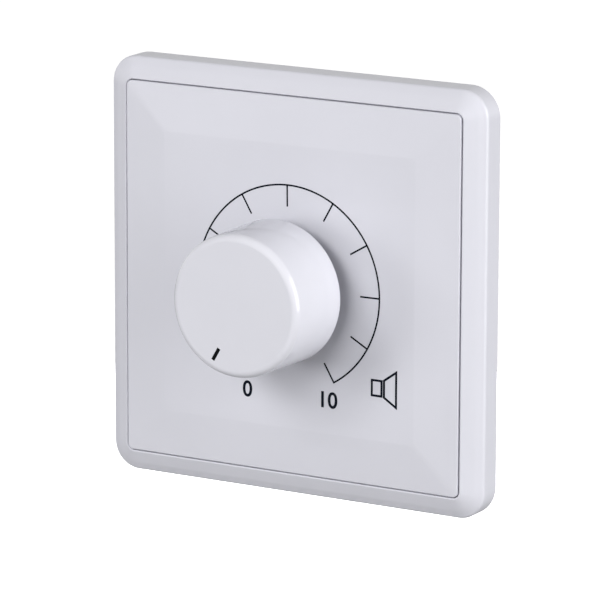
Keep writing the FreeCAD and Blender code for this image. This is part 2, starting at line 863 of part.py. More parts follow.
def bush_nut():
    """A thin hexagon nut on the bush."""
    body = new_body("bush_nut")
    nut = new_sketch(body, "nut_outline", washer_front)
    hexagon(nut, size.nut_across)
    circle(nut, size.bush_radius + size.fit_gap)
    pad(body, nut, size.nut_height, "nut")
    return body


def switch_spindle():
    """The shaft with its flat, the rotor that holds the balls, and the stop lug."""
    body = new_body("switch_spindle")
    stub_end = rotor_back - size.stub_length
    profile = [
        (ZERO, shaft_front),
        (size.shaft_radius, shaft_front),
        (size.shaft_radius, rotor_front),
        (rotor_radius, rotor_front),
        (rotor_radius, rotor_back),
        (size.stub_radius, rotor_back),
        (size.stub_radius, stub_end),
        (ZERO, stub_end),
    ]
    revolve(body, "turned_form", profile)
    lug_half = size.lug_width / 2
    lug_front = chamber_front - size.lug_gap
    inner = size.stop_radius - lug_half
    outer = size.stop_radius + lug_half
    tab_inner = size.stop_radius - size.stop_ring_thickness / 2
    tab_share = size.stop_tab_width / 2 / tab_inner
    free_turn = size.travel + 2 * size.stop_gap_turn
    lug_turn = f"360 deg - {free_turn.text} * 1 deg - 2 * asin({tab_share.text})"
    lug_profile = [(inner, lug_front), (outer, lug_front), (outer, rotor_front), (inner, rotor_front)]
    lug_sketch = turned_sketch(body, "lug_profile", lug_profile)
    # The profile is drawn to the right of the axis, so its plane is turned to point up.
    quarter = FreeCAD.Rotation(Vector(0, 1, 0), -90)
    lug_sketch.AttachmentOffset = FreeCAD.Placement(Vector(0, 0, 0), quarter)
    lug = body.newObject("PartDesign::Revolution", "stop_lug")
    lug.Profile = lug_sketch
    lug.ReferenceAxis = (lug_sketch, ["Axis0"])
    lug.setExpression("Angle", lug_turn)
    lug.Midplane = True
    body.Tip = lug
    flat = new_sketch(body, "flat_outline", shaft_front)
    below = size.shaft_radius - size.shaft_flat
    rectangle(flat, size.shaft_radius, below / 2, (ZERO, -(size.shaft_flat + below / 2)))
    pocket(body, flat, shaft_front - hub_back + size.fit_gap, "shaft_flat")
    hole = new_sketch(body, "ball_hole_outline", ZERO, "XY_Plane")
    circle(hole, size.ball_radius + size.fit_gap, (ZERO, -ball_height))
    pocket(body, hole, 2 * (rotor_radius + size.fit_gap), "ball_hole", middle=True)
    turn_to_rest(body)
    return body


def detent_balls():
    """Two steel balls at the ends of the rotor's cross hole, drawn on the crests."""
    group = []
    for side, name in ((1, "upper_ball"), (-1, "lower_ball")):
        ball = doc.addObject("Part::Sphere", name)
        ball.setExpression("Radius", size.ball_radius.text)
        ball.setExpression("Placement.Base.y", (-ball_height).text)
        ball.setExpression("Placement.Base.z", (side * ball_place).text)
        group.append(ball)
    balls = doc.addObject("Part::Compound", "detent_balls")
    balls.Label = "detent_balls"
    balls.Links = group
    turn_to_rest(balls)
    return balls


def detent_spring():
    """A compression spring that pushes the two balls apart, inside the cross hole."""
    wire_radius = size.spring_wire.number / 2
    coil_radius = size.ball_radius.number - size.spring_wire.number
    length = 2 * (ball_place.number - size.ball_radius.number - wire_radius - size.fit_gap.number)
    first_end = Vector(0, -ball_height.number, -length / 2)
    helix = Part.makeHelix(length / size.spring_turns.number, length, coil_radius)
    helix.translate(first_end)
    start = Part.Circle(first_end + Vector(coil_radius, 0, 0), Vector(0, 1, 0), wire_radius)
    section = Part.Wire([start.toShape()])
    coil = Part.Wire(helix.Edges).makePipeShell([section], True, True)
    spring = doc.addObject("Part::Feature", "detent_spring")
    spring.Label = "detent_spring"
    spring.Shape = coil
    turn_to_rest(spring)
    return spring


wiper_front = rotor_back - size.fit_gap
contact_front = housing_rim + size.rivet_height


def wiper_contact():
    """A spring plate behind the rotor that joins the common ring to one fixed contact."""
    body = new_body("wiper_contact")
    disc = new_sketch(body, "disc_outline", wiper_front - size.wiper_thickness)
    circle(disc, size.common_radius + size.contact_tip_radius + size.wiper_rim)
    pad(body, disc, size.wiper_thickness, "disc")
    arm = new_sketch(body, "arm_outline", wiper_front - size.wiper_thickness)
    arm_half = contact_radius / 2
    rectangle(arm, size.wiper_arm_width / 2, arm_half, (ZERO, arm_half))
    pad(body, arm, size.wiper_thickness, "arm")
    tips = new_sketch(body, "tip_outline", contact_front + size.fit_gap)
    for place in (contact_radius, -size.common_radius):
        circle(tips, size.contact_tip_radius, (ZERO, place))
    tip_length = wiper_front - size.wiper_thickness / 2 - contact_front - size.fit_gap
    pad(body, tips, tip_length, "contact_tips")
    hole = new_sketch(body, "stub_hole_outline", wiper_front)
    circle(hole, size.stub_radius + size.fit_gap)
    pocket(body, hole, size.wiper_thickness, "stub_hole")
    turn_to_rest(body)
    return body


def contact_places():
    """Where the fixed contacts stand, one for each position, and the common one below."""
    first = -size.rest_turn.number
    step = 360 / size.detents.number
    steps = round(size.travel.number / step)
    places = []
    for number in range(steps + 1):
        turn = math.radians(first + number * step)
        places.append((contact_radius * math.sin(turn), contact_radius * math.cos(turn)))
    return places


common_place = (ZERO, -size.common_radius)


def switch_base():
    """The disc that closes the switch and holds its contacts."""
    body = new_body("switch_base")
    disc = new_sketch(body, "disc_outline", base_back)
    circle(disc, size.housing_radius)
    pad(body, disc, size.base_thickness, "disc")
    holes = new_sketch(body, "pin_hole_outlines", housing_rim)
    for place in contact_places() + [common_place]:
        circle(holes, size.pin_radius + size.fit_gap, place)
    pocket(body, holes, size.base_thickness, "pin_holes")
    seat = new_sketch(body, "stub_seat_outline", housing_rim)
    circle(seat, size.stub_radius + size.running_gap)
    seat_depth = housing_rim - rotor_back + size.stub_length + size.fit_gap
    pocket(body, seat, seat_depth, "stub_seat")
    return body


def switch_pins():
    """Riveted contact pins that run from the switch through the board."""
    body = new_body("switch_pins")
    pin_end = board_back - size.solder_length
    pins = new_sketch(body, "pin_outlines", pin_end)
    for place in contact_places() + [common_place]:
        circle(pins, size.pin_radius, place)
    pad(body, pins, housing_rim - pin_end, "pins")
    heads = new_sketch(body, "head_outlines", housing_rim)
    for place in contact_places():
        circle(heads, size.rivet_radius, place)
    pad(body, heads, size.rivet_height, "rivet_heads")
    ring = new_sketch(body, "common_ring_outline", housing_rim)
    circle(ring, size.common_radius + size.contact_tip_radius)
    circle(ring, size.common_radius - size.contact_tip_radius)
    pad(body, ring, size.rivet_height, "common_ring")
    return body


clamp_screw_x = core_half + size.core_fit + size.clamp_thickness + size.clamp_screw_in
clamp_places = [(side * clamp_screw_x, ZERO) for side in (-1, 1)]
pin_block_middle = flange_half_height - size.pin_block_width / 2
bobbin_pin_places = [
    place
    for side in (-1, 1)
    for place in row_places(size.bobbin_pin_count, size.bobbin_pin_pitch, side * pin_block_middle)
]
terminal_places = row_places(size.ways, size.terminal_pitch, -block_place)


def circuit_board():
    """A round board with level flats, carried on the pillars."""
    body = new_body("circuit_board")
    outline = new_sketch(body, "board_outline", board_back)
    circle(outline, size.board_radius)
    pad(body, outline, size.board_thickness, "board")
    flats = new_sketch(body, "flat_outlines", board_front)
    cut_half = (size.board_radius - board_flat_place) / 2
    for side in (-1, 1):
        place = (ZERO, side * (board_flat_place + cut_half))
        rectangle(flats, size.board_radius, cut_half, place)
    pocket(body, flats, size.board_thickness, "flats")
    holes = new_sketch(body, "hole_outlines", board_front)
    for place in pillar_places + clamp_places:
        circle(holes, screw_hole, place)
    for place in contact_places() + [common_place]:
        circle(holes, size.pin_radius + size.fit_gap, place)
    for place in bobbin_pin_places:
        circle(holes, size.bobbin_pin_radius + size.fit_gap, place)
    for place in terminal_places:
        circle(holes, size.terminal_pin_radius + size.fit_gap, place)
    pocket(body, holes, size.board_thickness, "holes")
    return body


def board_pillars():
    """Hexagon pillars with tapped bores between the support plate and the board."""
    body = new_body("board_pillars")
    outlines = new_sketch(body, "pillar_outlines", board_front)
    for place in pillar_places:
        hexagon(outlines, size.pillar_across, place)
        circle(outlines, size.screw_radius + size.fit_gap, place)
    pad(body, outlines, -board_front, "pillars")
    return body


def add_screws(body, name, seat, places, shank, forward):
    """Pan head screws whose heads rest on a seat and point to the front or to the back."""
    direction = 1 if forward else -1
    heads = new_sketch(body, name + "_head_outlines", seat)
    for place in places:
        circle(heads, size.screw_head_radius, place)
    pad(body, heads, size.screw_head_height, name + "_heads", reverse=not forward)
    shanks = new_sketch(body, name + "_shank_outlines", seat)
    for place in places:
        circle(shanks, size.screw_radius, place)
    pad(body, shanks, shank, name + "_shanks", reverse=forward)
    top = seat + direction * size.screw_head_height
    cuts = new_sketch(body, name + "_slot_outlines", top)
    for place in places:
        rectangle(cuts, size.screw_head_radius + size.fit_gap, size.screw_slot_width / 2, place)
    pocket(body, cuts, size.screw_slot_depth, name + "_slots", reverse=not forward)


def pillar_screws():
    """Eight equal screws: four through the support plate and four through the board."""
    body = new_body("pillar_screws")
    front_shank = size.support_thickness + size.screw_grip
    back_shank = size.board_thickness + size.screw_grip
    add_screws(body, "front", size.support_thickness, pillar_places, front_shank, True)
    add_screws(body, "back", board_back, pillar_places, back_shank, False)
    return body


def core_e_stack():
    """The stack of E laminations: a back and three limbs, the middle one twice as wide."""
    body = new_body("core_e_stack")
    outline = new_sketch(body, "e_outline", ZERO, "XY_Plane")
    tongue = size.core_tongue / 2
    limb_end = -window_front
    root = -window_back
    points = [
        (-core_half, limb_end),
        (-window_side, limb_end),
        (-window_side, root),
        (-tongue, root),
        (-tongue, limb_end),
        (tongue, limb_end),
        (tongue, root),
        (window_side, root),
        (window_side, limb_end),
        (core_half, limb_end),
        (core_half, -core_back),
        (-core_half, -core_back),
    ]
    polygon(outline, points)
    pad(body, outline, size.core_stack, "stack", middle=True)
    return body


def core_i_stack():
    """The stack of I laminations that closes the limbs on the board's side."""
    body = new_body("core_i_stack")
    outline = new_sketch(body, "i_outline", window_front)
    rectangle(outline, core_half, stack_half)
    pad(body, outline, size.core_limb, "stack")
    return body


flange_half_width = window_side - 2 * size.core_fit
bobbin_front = window_front - size.core_fit
bobbin_back = window_back + size.core_fit


def bobbin():
    """A moulded bobbin: a tube on the middle limb, two flanges, and blocks for the pins."""
    body = new_body("bobbin")
    tube = new_sketch(body, "tube_outline", bobbin_back)
    rectangle(tube, tube_outer_x, tube_outer_z)
    pad(body, tube, bobbin_front - bobbin_back, "tube")
    for name, height in (("front", bobbin_front - size.flange_thickness), ("back", bobbin_back)):
        flange = new_sketch(body, name + "_flange_outline", height)
        rectangle(flange, flange_half_width, flange_half_height)
        pad(body, flange, size.flange_thickness, name + "_flange")
    blocks = new_sketch(body, "pin_block_outlines", bobbin_front - size.flange_thickness)
    for side in (-1, 1):
        place = (ZERO, side * pin_block_middle)
        rectangle(blocks, flange_half_width, size.pin_block_width / 2, place)
    pad(body, blocks, board_back - bobbin_front + size.flange_thickness, "pin_blocks")
    bore = new_sketch(body, "bore_outline", bobbin_front)
    rectangle(bore, tube_inner_x, tube_inner_z)
    pocket(body, bore, bobbin_front - bobbin_back, "bore")
    holes = new_sketch(body, "pin_hole_outlines", board_back)
    for place in bobbin_pin_places:
        circle(holes, size.bobbin_pin_radius + size.fit_gap, place)
    pocket(body, holes, board_back - bobbin_front, "pin_holes")
    return body


def bobbin_pins():
    """Two rows of square-cut wire pins that carry the transformer's taps into the board."""
    body = new_body("bobbin_pins")
    pins = new_sketch(body, "pin_outlines", bobbin_front + size.fit_gap)
    for place in bobbin_pin_places:
        circle(pins, size.bobbin_pin_radius, place)
    pin_length = board_front + size.bobbin_pin_out - bobbin_front - size.fit_gap
    pad(body, pins, pin_length, "pins")
    return body


winding_back = bobbin_back + size.flange_thickness + size.winding_gap
winding_length = bobbin_front - bobbin_back - 2 * size.flange_thickness - 2 * size.winding_gap
winding_half_x = flange_half_width - size.winding_inset + size.tape_thickness
winding_half_z = flange_half_height - size.winding_inset


def winding():
    """The wound copper wire as one block with round corners on the bobbin's tube."""
    body = new_body("winding")
    outline = new_sketch(body, "winding_outline", winding_back)
    corner = winding_half_x - tube_outer_x
    rounded_rectangle(outline, winding_half_x, winding_half_z, corner)
    rectangle(outline, tube_outer_x + size.winding_gap, tube_outer_z + size.winding_gap)
    pad(body, outline, winding_length, "winding")
    return body


def winding_tape():
    """The insulating tape wrapped round the winding."""
    body = new_body("winding_tape")
    outline = new_sketch(body, "tape_outline", winding_back)
    inner_x = winding_half_x + size.fit_gap
    inner_z = winding_half_z + size.fit_gap
    corner = winding_half_x - tube_outer_x
    thickness = size.tape_thickness
    rounded_rectangle(outline, inner_x, inner_z, corner + size.fit_gap)
    rounded_rectangle(outline, inner_x + thickness, inner_z + thickness, corner + size.fit_gap + thickness)
    pad(body, outline, winding_length, "tape")
    return body


def transformer_clamp():
    """A bent steel strap over the core with two ears screwed to the board."""
    body = new_body("transformer_clamp")
    outline = new_sketch(body, "strap_outline", ZERO, "XY_Plane")
    inner_x = core_half + size.core_fit
    outer_x = inner_x + size.clamp_thickness
    ear_x = outer_x + size.clamp_ear
    foot = -board_back
    ear_top = foot + size.clamp_thickness
    inner_y = size.core_fit - core_back
    outer_y = inner_y + size.clamp_thickness
    half = [
        (inner_x, inner_y),
        (inner_x, foot),
        (ear_x, foot),
        (ear_x, ear_top),
        (outer_x, ear_top),
        (outer_x, outer_y),
    ]
    points = half + [(-x, y) for x, y in reversed(half)]
    polygon(outline, points)
    pad(body, outline, size.clamp_width, "strap", middle=True)
    holes = new_sketch(body, "hole_outlines", board_back)
    for place in clamp_places:
        circle(holes, screw_hole, place)
    pocket(body, holes, size.clamp_thickness, "holes")
    return body


def clamp_screws():
    """Two screws through the board and the strap's ears."""
    body = new_body("clamp_screws")
    shank = size.board_thickness + size.clamp_thickness + size.clamp_nut_height + size.clamp_screw_over
    add_screws(body, "clamp", board_front, clamp_places, shank, True)
    return body


def clamp_nuts():
    """Two hexagon nuts on the strap's ears."""
    body = new_body("clamp_nuts")
    nuts = new_sketch(body, "nut_outlines", board_back - size.clamp_thickness - size.clamp_nut_height)
    for place in clamp_places:
        hexagon(nuts, size.pillar_across, place)
        circle(nuts, size.screw_radius + size.fit_gap, place)
    pad(body, nuts, size.clamp_nut_height, "nuts")
    return body


cage_front = board_back - size.block_floor
cage_back = cage_front - size.cage_depth
block_back = cage_back - size.terminal_head_height - size.terminal_head_sunk
window_offset = size.cage_wall + size.wire_opening / 2


def terminal_block():
    """A moulded block with a chamber, a wire opening and a screw hole for each way."""
    body = new_body("terminal_block")
    outline = new_sketch(body, "block_outline", block_back)
    place = (ZERO, -block_place)
    rectangle(outline, block_half_width, block_half_height, place)
    pad(body, outline, board_back - block_back, "block")
    chambers = new_sketch(body, "chamber_outlines", block_back)
    half_x = size.cage_width / 2 + size.fit_gap
    half_z = size.cage_height / 2 + size.fit_gap
    for way in terminal_places:
        rectangle(chambers, half_x, half_z, way)
    pocket(body, chambers, cage_front + size.fit_gap - block_back, "chambers", reverse=True)
    pins = new_sketch(body, "pin_hole_outlines", board_back)
    for way in terminal_places:
        circle(pins, size.terminal_pin_radius + size.fit_gap, way)
    pocket(body, pins, size.block_floor, "pin_holes")
    under_side = -(block_place + block_half_height)
    openings = new_sketch(body, "wire_opening_outlines", under_side, "XY_Plane")
    half = size.wire_opening / 2
    for x, z in terminal_places:
        rectangle(openings, half, half, (x, window_offset - cage_front))
    pocket(body, openings, block_half_height, "wire_openings", reverse=True)
    return body


def terminal_clamps():
    """Metal cages with a wire window, a tapped hole for the screw and a solder pin."""
    body = new_body("terminal_clamps")
    cages = new_sketch(body, "cage_outlines", cage_back)
    for way in terminal_places:
        rectangle(cages, size.cage_width / 2, size.cage_height / 2, way)
    pad(body, cages, size.cage_depth, "cages")
    pins = new_sketch(body, "pin_outlines", cage_front)
    for way in terminal_places:
        circle(pins, size.terminal_pin_radius, way)
    pad(body, pins, board_front + size.solder_length - cage_front, "pins")
    windows = new_sketch(body, "window_outlines", -block_place, "XY_Plane")
    half = size.wire_opening / 2
    for x, z in terminal_places:
        rectangle(windows, half, half, (x, window_offset - cage_front))
    pocket(body, windows, size.cage_height + 2 * size.fit_gap, "wire_windows", middle=True)
    taps = new_sketch(body, "tap_outlines", cage_back)
    for way in terminal_places:
        circle(taps, size.terminal_screw_radius + size.fit_gap, way)
    pocket(body, taps, size.cage_depth - size.cage_wall - size.wire_opening, "tapped_holes", reverse=True)
    return body


def terminal_screws():
    """The four clamping screws, flush in the block's back."""
    body = new_body("terminal_screws")
    head_back = cage_back - size.terminal_head_height
    heads = new_sketch(body, "head_outlines", head_back)
    for way in terminal_places:
        circle(heads, size.terminal_head_radius, way)
    pad(body, heads, size.terminal_head_height, "heads")
    shanks = new_sketch(body, "shank_outlines", cage_back)
    for way in terminal_places:
        circle(shanks, size.terminal_screw_radius, way)
    pad(body, shanks, size.cage_depth - size.cage_wall - size.wire_opening, "shanks")
    cuts = new_sketch(body, "slot_outlines", head_back)
    for way in terminal_places:
        half_length = size.terminal_head_radius + size.fit_gap
        rectangle(cuts, half_length, size.screw_slot_width / 2, way)
    pocket(body, cuts, size.screw_slot_depth, "slots", reverse=True)
    return body


SUB_PARTS = [
    cover_frame,
    centre_plate,
    knob,
    knob_spring,
    support_plate,
    switch_housing,
    stop_ring,
    lock_washer,
    bush_nut,
    switch_spindle,
    detent_balls,
    detent_spring,
    wiper_contact,
    switch_base,
    switch_pins,
    circuit_board,
    board_pillars,
    pillar_screws,
    core_e_stack,
    core_i_stack,
    bobbin,
    bobbin_pins,
    winding,
    winding_tape,
    transformer_clamp,
    clamp_screws,
    clamp_nuts,
    terminal_block,
    terminal_clamps,
    terminal_screws,
]

pieces = [make() for make in SUB_PARTS]
doc.recompute()

for item in doc.Objects:
    faults = {"Invalid", "Error"} & set(item.State)
    if faults:
        raise RuntimeError(f"{item.Label}: {sorted(faults)}")
for piece in pieces:
    if piece.Shape.isNull() or not piece.Shape.isValid():
        raise RuntimeError(f"{piece.Label}: its shape is empty or not valid")

os.makedirs("parts", exist_ok=True)
for piece in pieces:
    piece.Shape.exportStep(f"parts/{piece.Label}.step")
    print(f"{piece.Label}: {len(piece.Shape.Solids)} solids, {piece.Shape.Volume:.1f} mm3")
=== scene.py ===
# %% [markdown]
# # A speaker volume control for the wall
# A square cover frame holds a thin domed plate, and a round knob stands in its middle.
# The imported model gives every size, so each new piece below is drawn at the place of the
# piece that it stands for. The knob turns, so all that belongs to it rides on its body.
# Behind the wall are a support plate, a rotary switch, a circuit board, a transformer and a
# terminal block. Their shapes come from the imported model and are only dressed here.

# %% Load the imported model
import math

import bmesh
import bpy
from mathutils import Matrix, Vector


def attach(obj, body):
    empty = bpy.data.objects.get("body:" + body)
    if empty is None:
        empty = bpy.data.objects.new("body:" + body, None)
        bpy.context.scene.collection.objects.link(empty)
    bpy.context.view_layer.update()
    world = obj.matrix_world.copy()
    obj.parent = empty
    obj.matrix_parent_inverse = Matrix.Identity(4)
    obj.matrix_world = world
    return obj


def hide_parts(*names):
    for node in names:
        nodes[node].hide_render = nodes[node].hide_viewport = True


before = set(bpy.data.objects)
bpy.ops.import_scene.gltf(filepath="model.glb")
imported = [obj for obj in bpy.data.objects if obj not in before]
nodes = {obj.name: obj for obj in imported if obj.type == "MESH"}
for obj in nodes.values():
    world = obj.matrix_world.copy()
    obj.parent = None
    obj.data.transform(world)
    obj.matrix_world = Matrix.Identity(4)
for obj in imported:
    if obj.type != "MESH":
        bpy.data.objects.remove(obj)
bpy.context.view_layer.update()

# %% [markdown]

# %% [markdown]
# ## Sizes in millimetres
# A product drawing is in millimetres, and Blender's unit here is the metre. One number
# turns the first into the second. The front of the control faces -Y, so a height above the
# wall is a negative y. A square part is given by half of its width, and its round corner by
# a radius. Two points that are closer than a thousandth of a millimetre are at one place.

# %% Name the sizes that several pieces share
MM = 0.001
FRAME_HALF = 40.0
FRAME_CORNER = 5.8
RIDGE_HALF = 39.85
RIDGE_HEIGHT = 4.45
OPENING_HALF = 35.7
LIP_HEIGHT = 6.56
PLATE_HALF = 35.52
PLATE_CORNER = 1.1
FLAT_HALF = 26.7
FLAT_HEIGHT = 7.45
RIB_WIDTH = 1.0
KNOB_REAR = 11.7
KNOB_FRONT = 26.6
REST_TURN = math.radians(-150)
SIDES = (-1, 1)
SAME_PLACE = 0.001
print("plate", 2 * PLATE_HALF, "mm wide, knob", KNOB_FRONT - KNOB_REAR, "mm long")

# %% [markdown]
# ## Small helpers for modelling
# An operator acts on whatever is selected. The first helper starts from nothing selected,
# the next ones go into and out of edit mode, and `pick` selects only the points, edges or
# faces that pass a test, as one would click them by hand.

# %% Helpers that select and switch modes
def deselect_all():
    """Leave edit mode and select nothing."""
    if bpy.context.object and bpy.context.object.mode != "OBJECT":
        bpy.ops.object.mode_set(mode="OBJECT")
    bpy.ops.object.select_all(action="DESELECT")


def activate(piece):
    """Make one piece the only selected and the active one."""
    deselect_all()
    piece.select_set(True)
    bpy.context.view_layer.objects.active = piece
    return piece


def edit():
    """Go into edit mode with nothing selected."""
    bpy.ops.object.mode_set(mode="EDIT")
    bpy.ops.mesh.select_all(action="DESELECT")


def done():
    """Go back to object mode."""
    bpy.ops.object.mode_set(mode="OBJECT")


def pick(kind, test):
    """In edit mode, select only the VERT, EDGE or FACE items that pass a test."""
    shape = bmesh.from_edit_mesh(bpy.context.object.data)
    bpy.ops.mesh.select_mode(type=kind)
    bpy.ops.mesh.select_all(action="DESELECT")
    items = {"VERT": shape.verts, "EDGE": shape.edges, "FACE": shape.faces}[kind]
    count = 0
    for item in items:
        if test(item):
            item.select_set(True)
            count += 1
    shape.select_flush_mode()
    bmesh.update_edit_mesh(bpy.context.object.data)
    return count


def place(*triple):
    """A place given in millimetres, in metres."""
    return Vector(triple) * MM


print("helpers ready")

# %% [markdown]
# ## Naming and joining
# A new piece gets its name as soon as it exists. Pieces made of several shapes are joined
# into one mesh, and the place goes into the mesh, so that the object itself sits at the
# origin, unturned and unscaled.

# %% Helpers that name, join and settle a piece
def named(name):
    """Name the active object and put its place into its mesh."""
    piece = bpy.context.object
    piece.name = name
    piece.data.name = name
    bpy.ops.object.transform_apply(location=True, rotation=True, scale=True)
    return piece


def join(name, parts):
    """Join several shapes into one piece."""
    activate(parts[0])
    for part in parts[1:]:
        part.select_set(True)
    bpy.ops.object.join()
    return named(name)


def outwards(piece):
    """Merge doubled points and turn every face outwards."""
    activate(piece)
    edit()
    bpy.ops.mesh.select_all(action="SELECT")
    bpy.ops.mesh.remove_doubles(threshold=SAME_PLACE * MM)
    bpy.ops.mesh.normals_make_consistent(inside=False)
    done()
    return piece


def smooth(piece, degrees=35):
    """Shade rounded parts smoothly and keep wide flat faces flat."""
    activate(piece)
    bpy.ops.object.shade_smooth_by_angle(angle=math.radians(degrees))
    modifier = piece.modifiers.new("flat_faces", "WEIGHTED_NORMAL")
    modifier.keep_sharp = True
    bpy.ops.object.modifier_apply(modifier=modifier.name)
    return piece


print("piece helpers ready")

# %% [markdown]
# ## Rings made from one outline
# Both the frame and the plate are square rings whose section changes from sharp to round
# corners. A scaled copy can't do that, so one outline is drawn, a plane with bevelled corners
# and no face, and its edges are extruded again and again. After each extrusion the new points
# are fitted to the width, the corner and the height of the next line of the section.

# %% Draw a square outline and extrude it along a section
CORNER_STEPS = 14
LINE_TOLERANCE = 0.01


def square_outline(half, corner, height):
    """A square with round corners as a closed line of edges, facing the front."""
    deselect_all()
    bpy.ops.mesh.primitive_plane_add(
        size=2 * half * MM, location=place(0, -height, 0), rotation=(math.pi / 2, 0, 0)
    )
    outline = named("outline")
    edit()
    bpy.ops.mesh.select_all(action="SELECT")
    bpy.ops.mesh.bevel(offset=corner * MM, segments=CORNER_STEPS, affect="VERTICES")
    bpy.ops.mesh.select_all(action="SELECT")
    bpy.ops.mesh.delete(type="ONLY_FACE")
    done()
    return outline


def fit_outline(old, new):
    """Move the selected outline from one line of the section to the next."""
    half, corner, _ = old
    new_half, new_corner, height = new
    shape = bmesh.from_edit_mesh(bpy.context.object.data)
    for vert in shape.verts:
        if vert.select:
            for axis in (0, 2):
                side = math.copysign(1, vert.co[axis])
                share = (vert.co[axis] / MM - side * (half - corner)) / corner
                vert.co[axis] = (side * (new_half - new_corner) + new_corner * share) * MM
            vert.co.y = -height * MM
    bmesh.update_edit_mesh(bpy.context.object.data)


def ring(name, section):
    """A closed ring that follows a section of (half width, corner, height) lines."""
    piece = square_outline(*section[0])
    edit()
    bpy.ops.mesh.select_all(action="SELECT")
    for old, new in zip(section, section[1:] + section[:1]):
        bpy.ops.mesh.extrude_edges_move()
        fit_outline(old, new)
    done()
    piece.name = name
    return outwards(piece)


def along(line):
    """A test for edges that lie on one line of a section."""
    half, corner, height = line

    def on_line(vert):
        past = [max(0, abs(vert.co[axis]) / MM - (half - corner)) for axis in (0, 2)]
        off_line = abs(math.hypot(*past) - corner)
        return max(off_line, abs(vert.co.y / MM + height)) < LINE_TOLERANCE

    return lambda edge: all(on_line(vert) for vert in edge.verts)


def round_line(piece, line, width, segments):
    """Bevel the edges on one line of a section."""
    activate(piece)
    edit()
    count = pick("EDGE", along(line))
    bpy.ops.mesh.bevel(offset=width * MM, segments=segments, affect="EDGES")
    done()
    print(count, "edges rounded")


print("each corner has", CORNER_STEPS, "steps")

# %% [markdown]
# ## The cover frame
# The frame is moulded in one piece: a drafted side, a soft ridge, a slope with a faint crease
# down to the lip round the opening, and behind it a ledge, a recess and a channel that keeps
# the wall thin.
# Its section is listed once as outlines from the wall to the front and back again, each
# with its half width, its corner and its height above the wall.

# %% List the section of the cover frame
OPENING_CORNER = 1.4
LEDGE_HALF = 33.0
LEDGE_HEIGHT = 2.9
RECESS_HALF = 35.8
RECESS_HEIGHT = 1.2
CHANNEL_INNER = 36.7
CHANNEL_OUTER = 38.2
CHANNEL_HEIGHT = 3.0
INNER_CORNER = 4.0

frame_section = {
    "wall": (FRAME_HALF, FRAME_CORNER, 0),
    "ridge": (RIDGE_HALF, 5.2, RIDGE_HEIGHT),
    "crease": (38.3, 3.9, 5.38),
    "lip": (OPENING_HALF, OPENING_CORNER, LIP_HEIGHT),
    "opening": (OPENING_HALF, OPENING_CORNER, LEDGE_HEIGHT),
    "ledge": (LEDGE_HALF, INNER_CORNER, LEDGE_HEIGHT),
    "throat": (LEDGE_HALF, INNER_CORNER, RECESS_HEIGHT),
    "recess": (RECESS_HALF, INNER_CORNER, RECESS_HEIGHT),
    "recess_rim": (RECESS_HALF, INNER_CORNER, 0),
    "channel_in": (CHANNEL_INNER, INNER_CORNER, 0),
    "channel_floor_in": (CHANNEL_INNER, INNER_CORNER, CHANNEL_HEIGHT),
    "channel_floor_out": (CHANNEL_OUTER, INNER_CORNER, CHANNEL_HEIGHT),
    "channel_out": (CHANNEL_OUTER, INNER_CORNER, 0),
}
print("the frame's section has", len(frame_section), "lines")

# %% [markdown]
# ## Round the frame's edges
# A mould never leaves a sharp edge, and light shows each edge by a bright or a dark line. So
# every edge that is seen gets a bevel of its own width: the ridge and the lip are rounded,
# the crease between them is only softened, and the edge at the wall is barely broken.

# %% Model the cover frame
frame_bevels = {
    "ridge": {"width": 0.45, "segments": 6},
    "crease": {"width": 0.35, "segments": 3},
    "lip": {"width": 0.38, "segments": 4},
    "wall": {"width": 0.15, "segments": 2},
}
cover = ring("frame_moulding", list(frame_section.values()))
for line, bevel in frame_bevels.items():
    round_line(cover, frame_section[line], **bevel)
smooth(cover)
print(cover.name, len(cover.data.polygons), "faces")

# %% [markdown]
# ## The centre plate
# The plate is a shallow pyramid with a flat top. It is so flat that only light shows the
# four creases, and a moulded crease is never sharp, so the flat's outline is bevelled too.
# A hole in the middle lets the shaft through. Its corner radius is a little less than its
# half width, so that a very short straight side stays between two corners.

# %% Model the centre plate's shell
FLAT_CORNER = 0.8
SKIRT_INNER = 33.85
SKIRT_END = 3.2
PLATE_INSIDE = 5.25
HOLE_HALF = 3.7
HOLE_CORNER = 3.69

plate_section = {
    "skirt_in": (SKIRT_INNER, PLATE_CORNER, SKIRT_END),
    "skirt_out": (PLATE_HALF, PLATE_CORNER, SKIRT_END),
    "edge": (PLATE_HALF, PLATE_CORNER, LIP_HEIGHT),
    "flat": (FLAT_HALF, FLAT_CORNER, FLAT_HEIGHT),
    "hole_front": (HOLE_HALF, HOLE_CORNER, FLAT_HEIGHT),
    "hole_back": (HOLE_HALF, HOLE_CORNER, PLATE_INSIDE),
    "inside": (SKIRT_INNER, PLATE_CORNER, PLATE_INSIDE),
}
plate_bevels = {
    "edge": {"width": 0.3, "segments": 4},
    "flat": {"width": 0.3, "segments": 3},
}
plate_shell = ring("plate_shell", list(plate_section.values()))
for line, bevel in plate_bevels.items():
    round_line(plate_shell, plate_section[line], **bevel)
print(plate_shell.name, len(plate_shell.data.polygons), "faces")

# %% [markdown]
# ## Blocks with soft edges
# Legs, ribs, the mark and the ticks all start as a cube that is scaled to a size. Those that
# can be seen get soft edges by a bevel modifier, which picks edges by their angle. It is
# applied, so that the mesh itself is round.

# %% Helpers for blocks with bevelled edges
def block(size_mm, centre_mm):
    """A block of a size at a place, ready to be shaped."""
    deselect_all()
    bpy.ops.mesh.primitive_cube_add(size=1, location=place(*centre_mm))
    bpy.context.object.scale = place(*size_mm)
    return named("block")


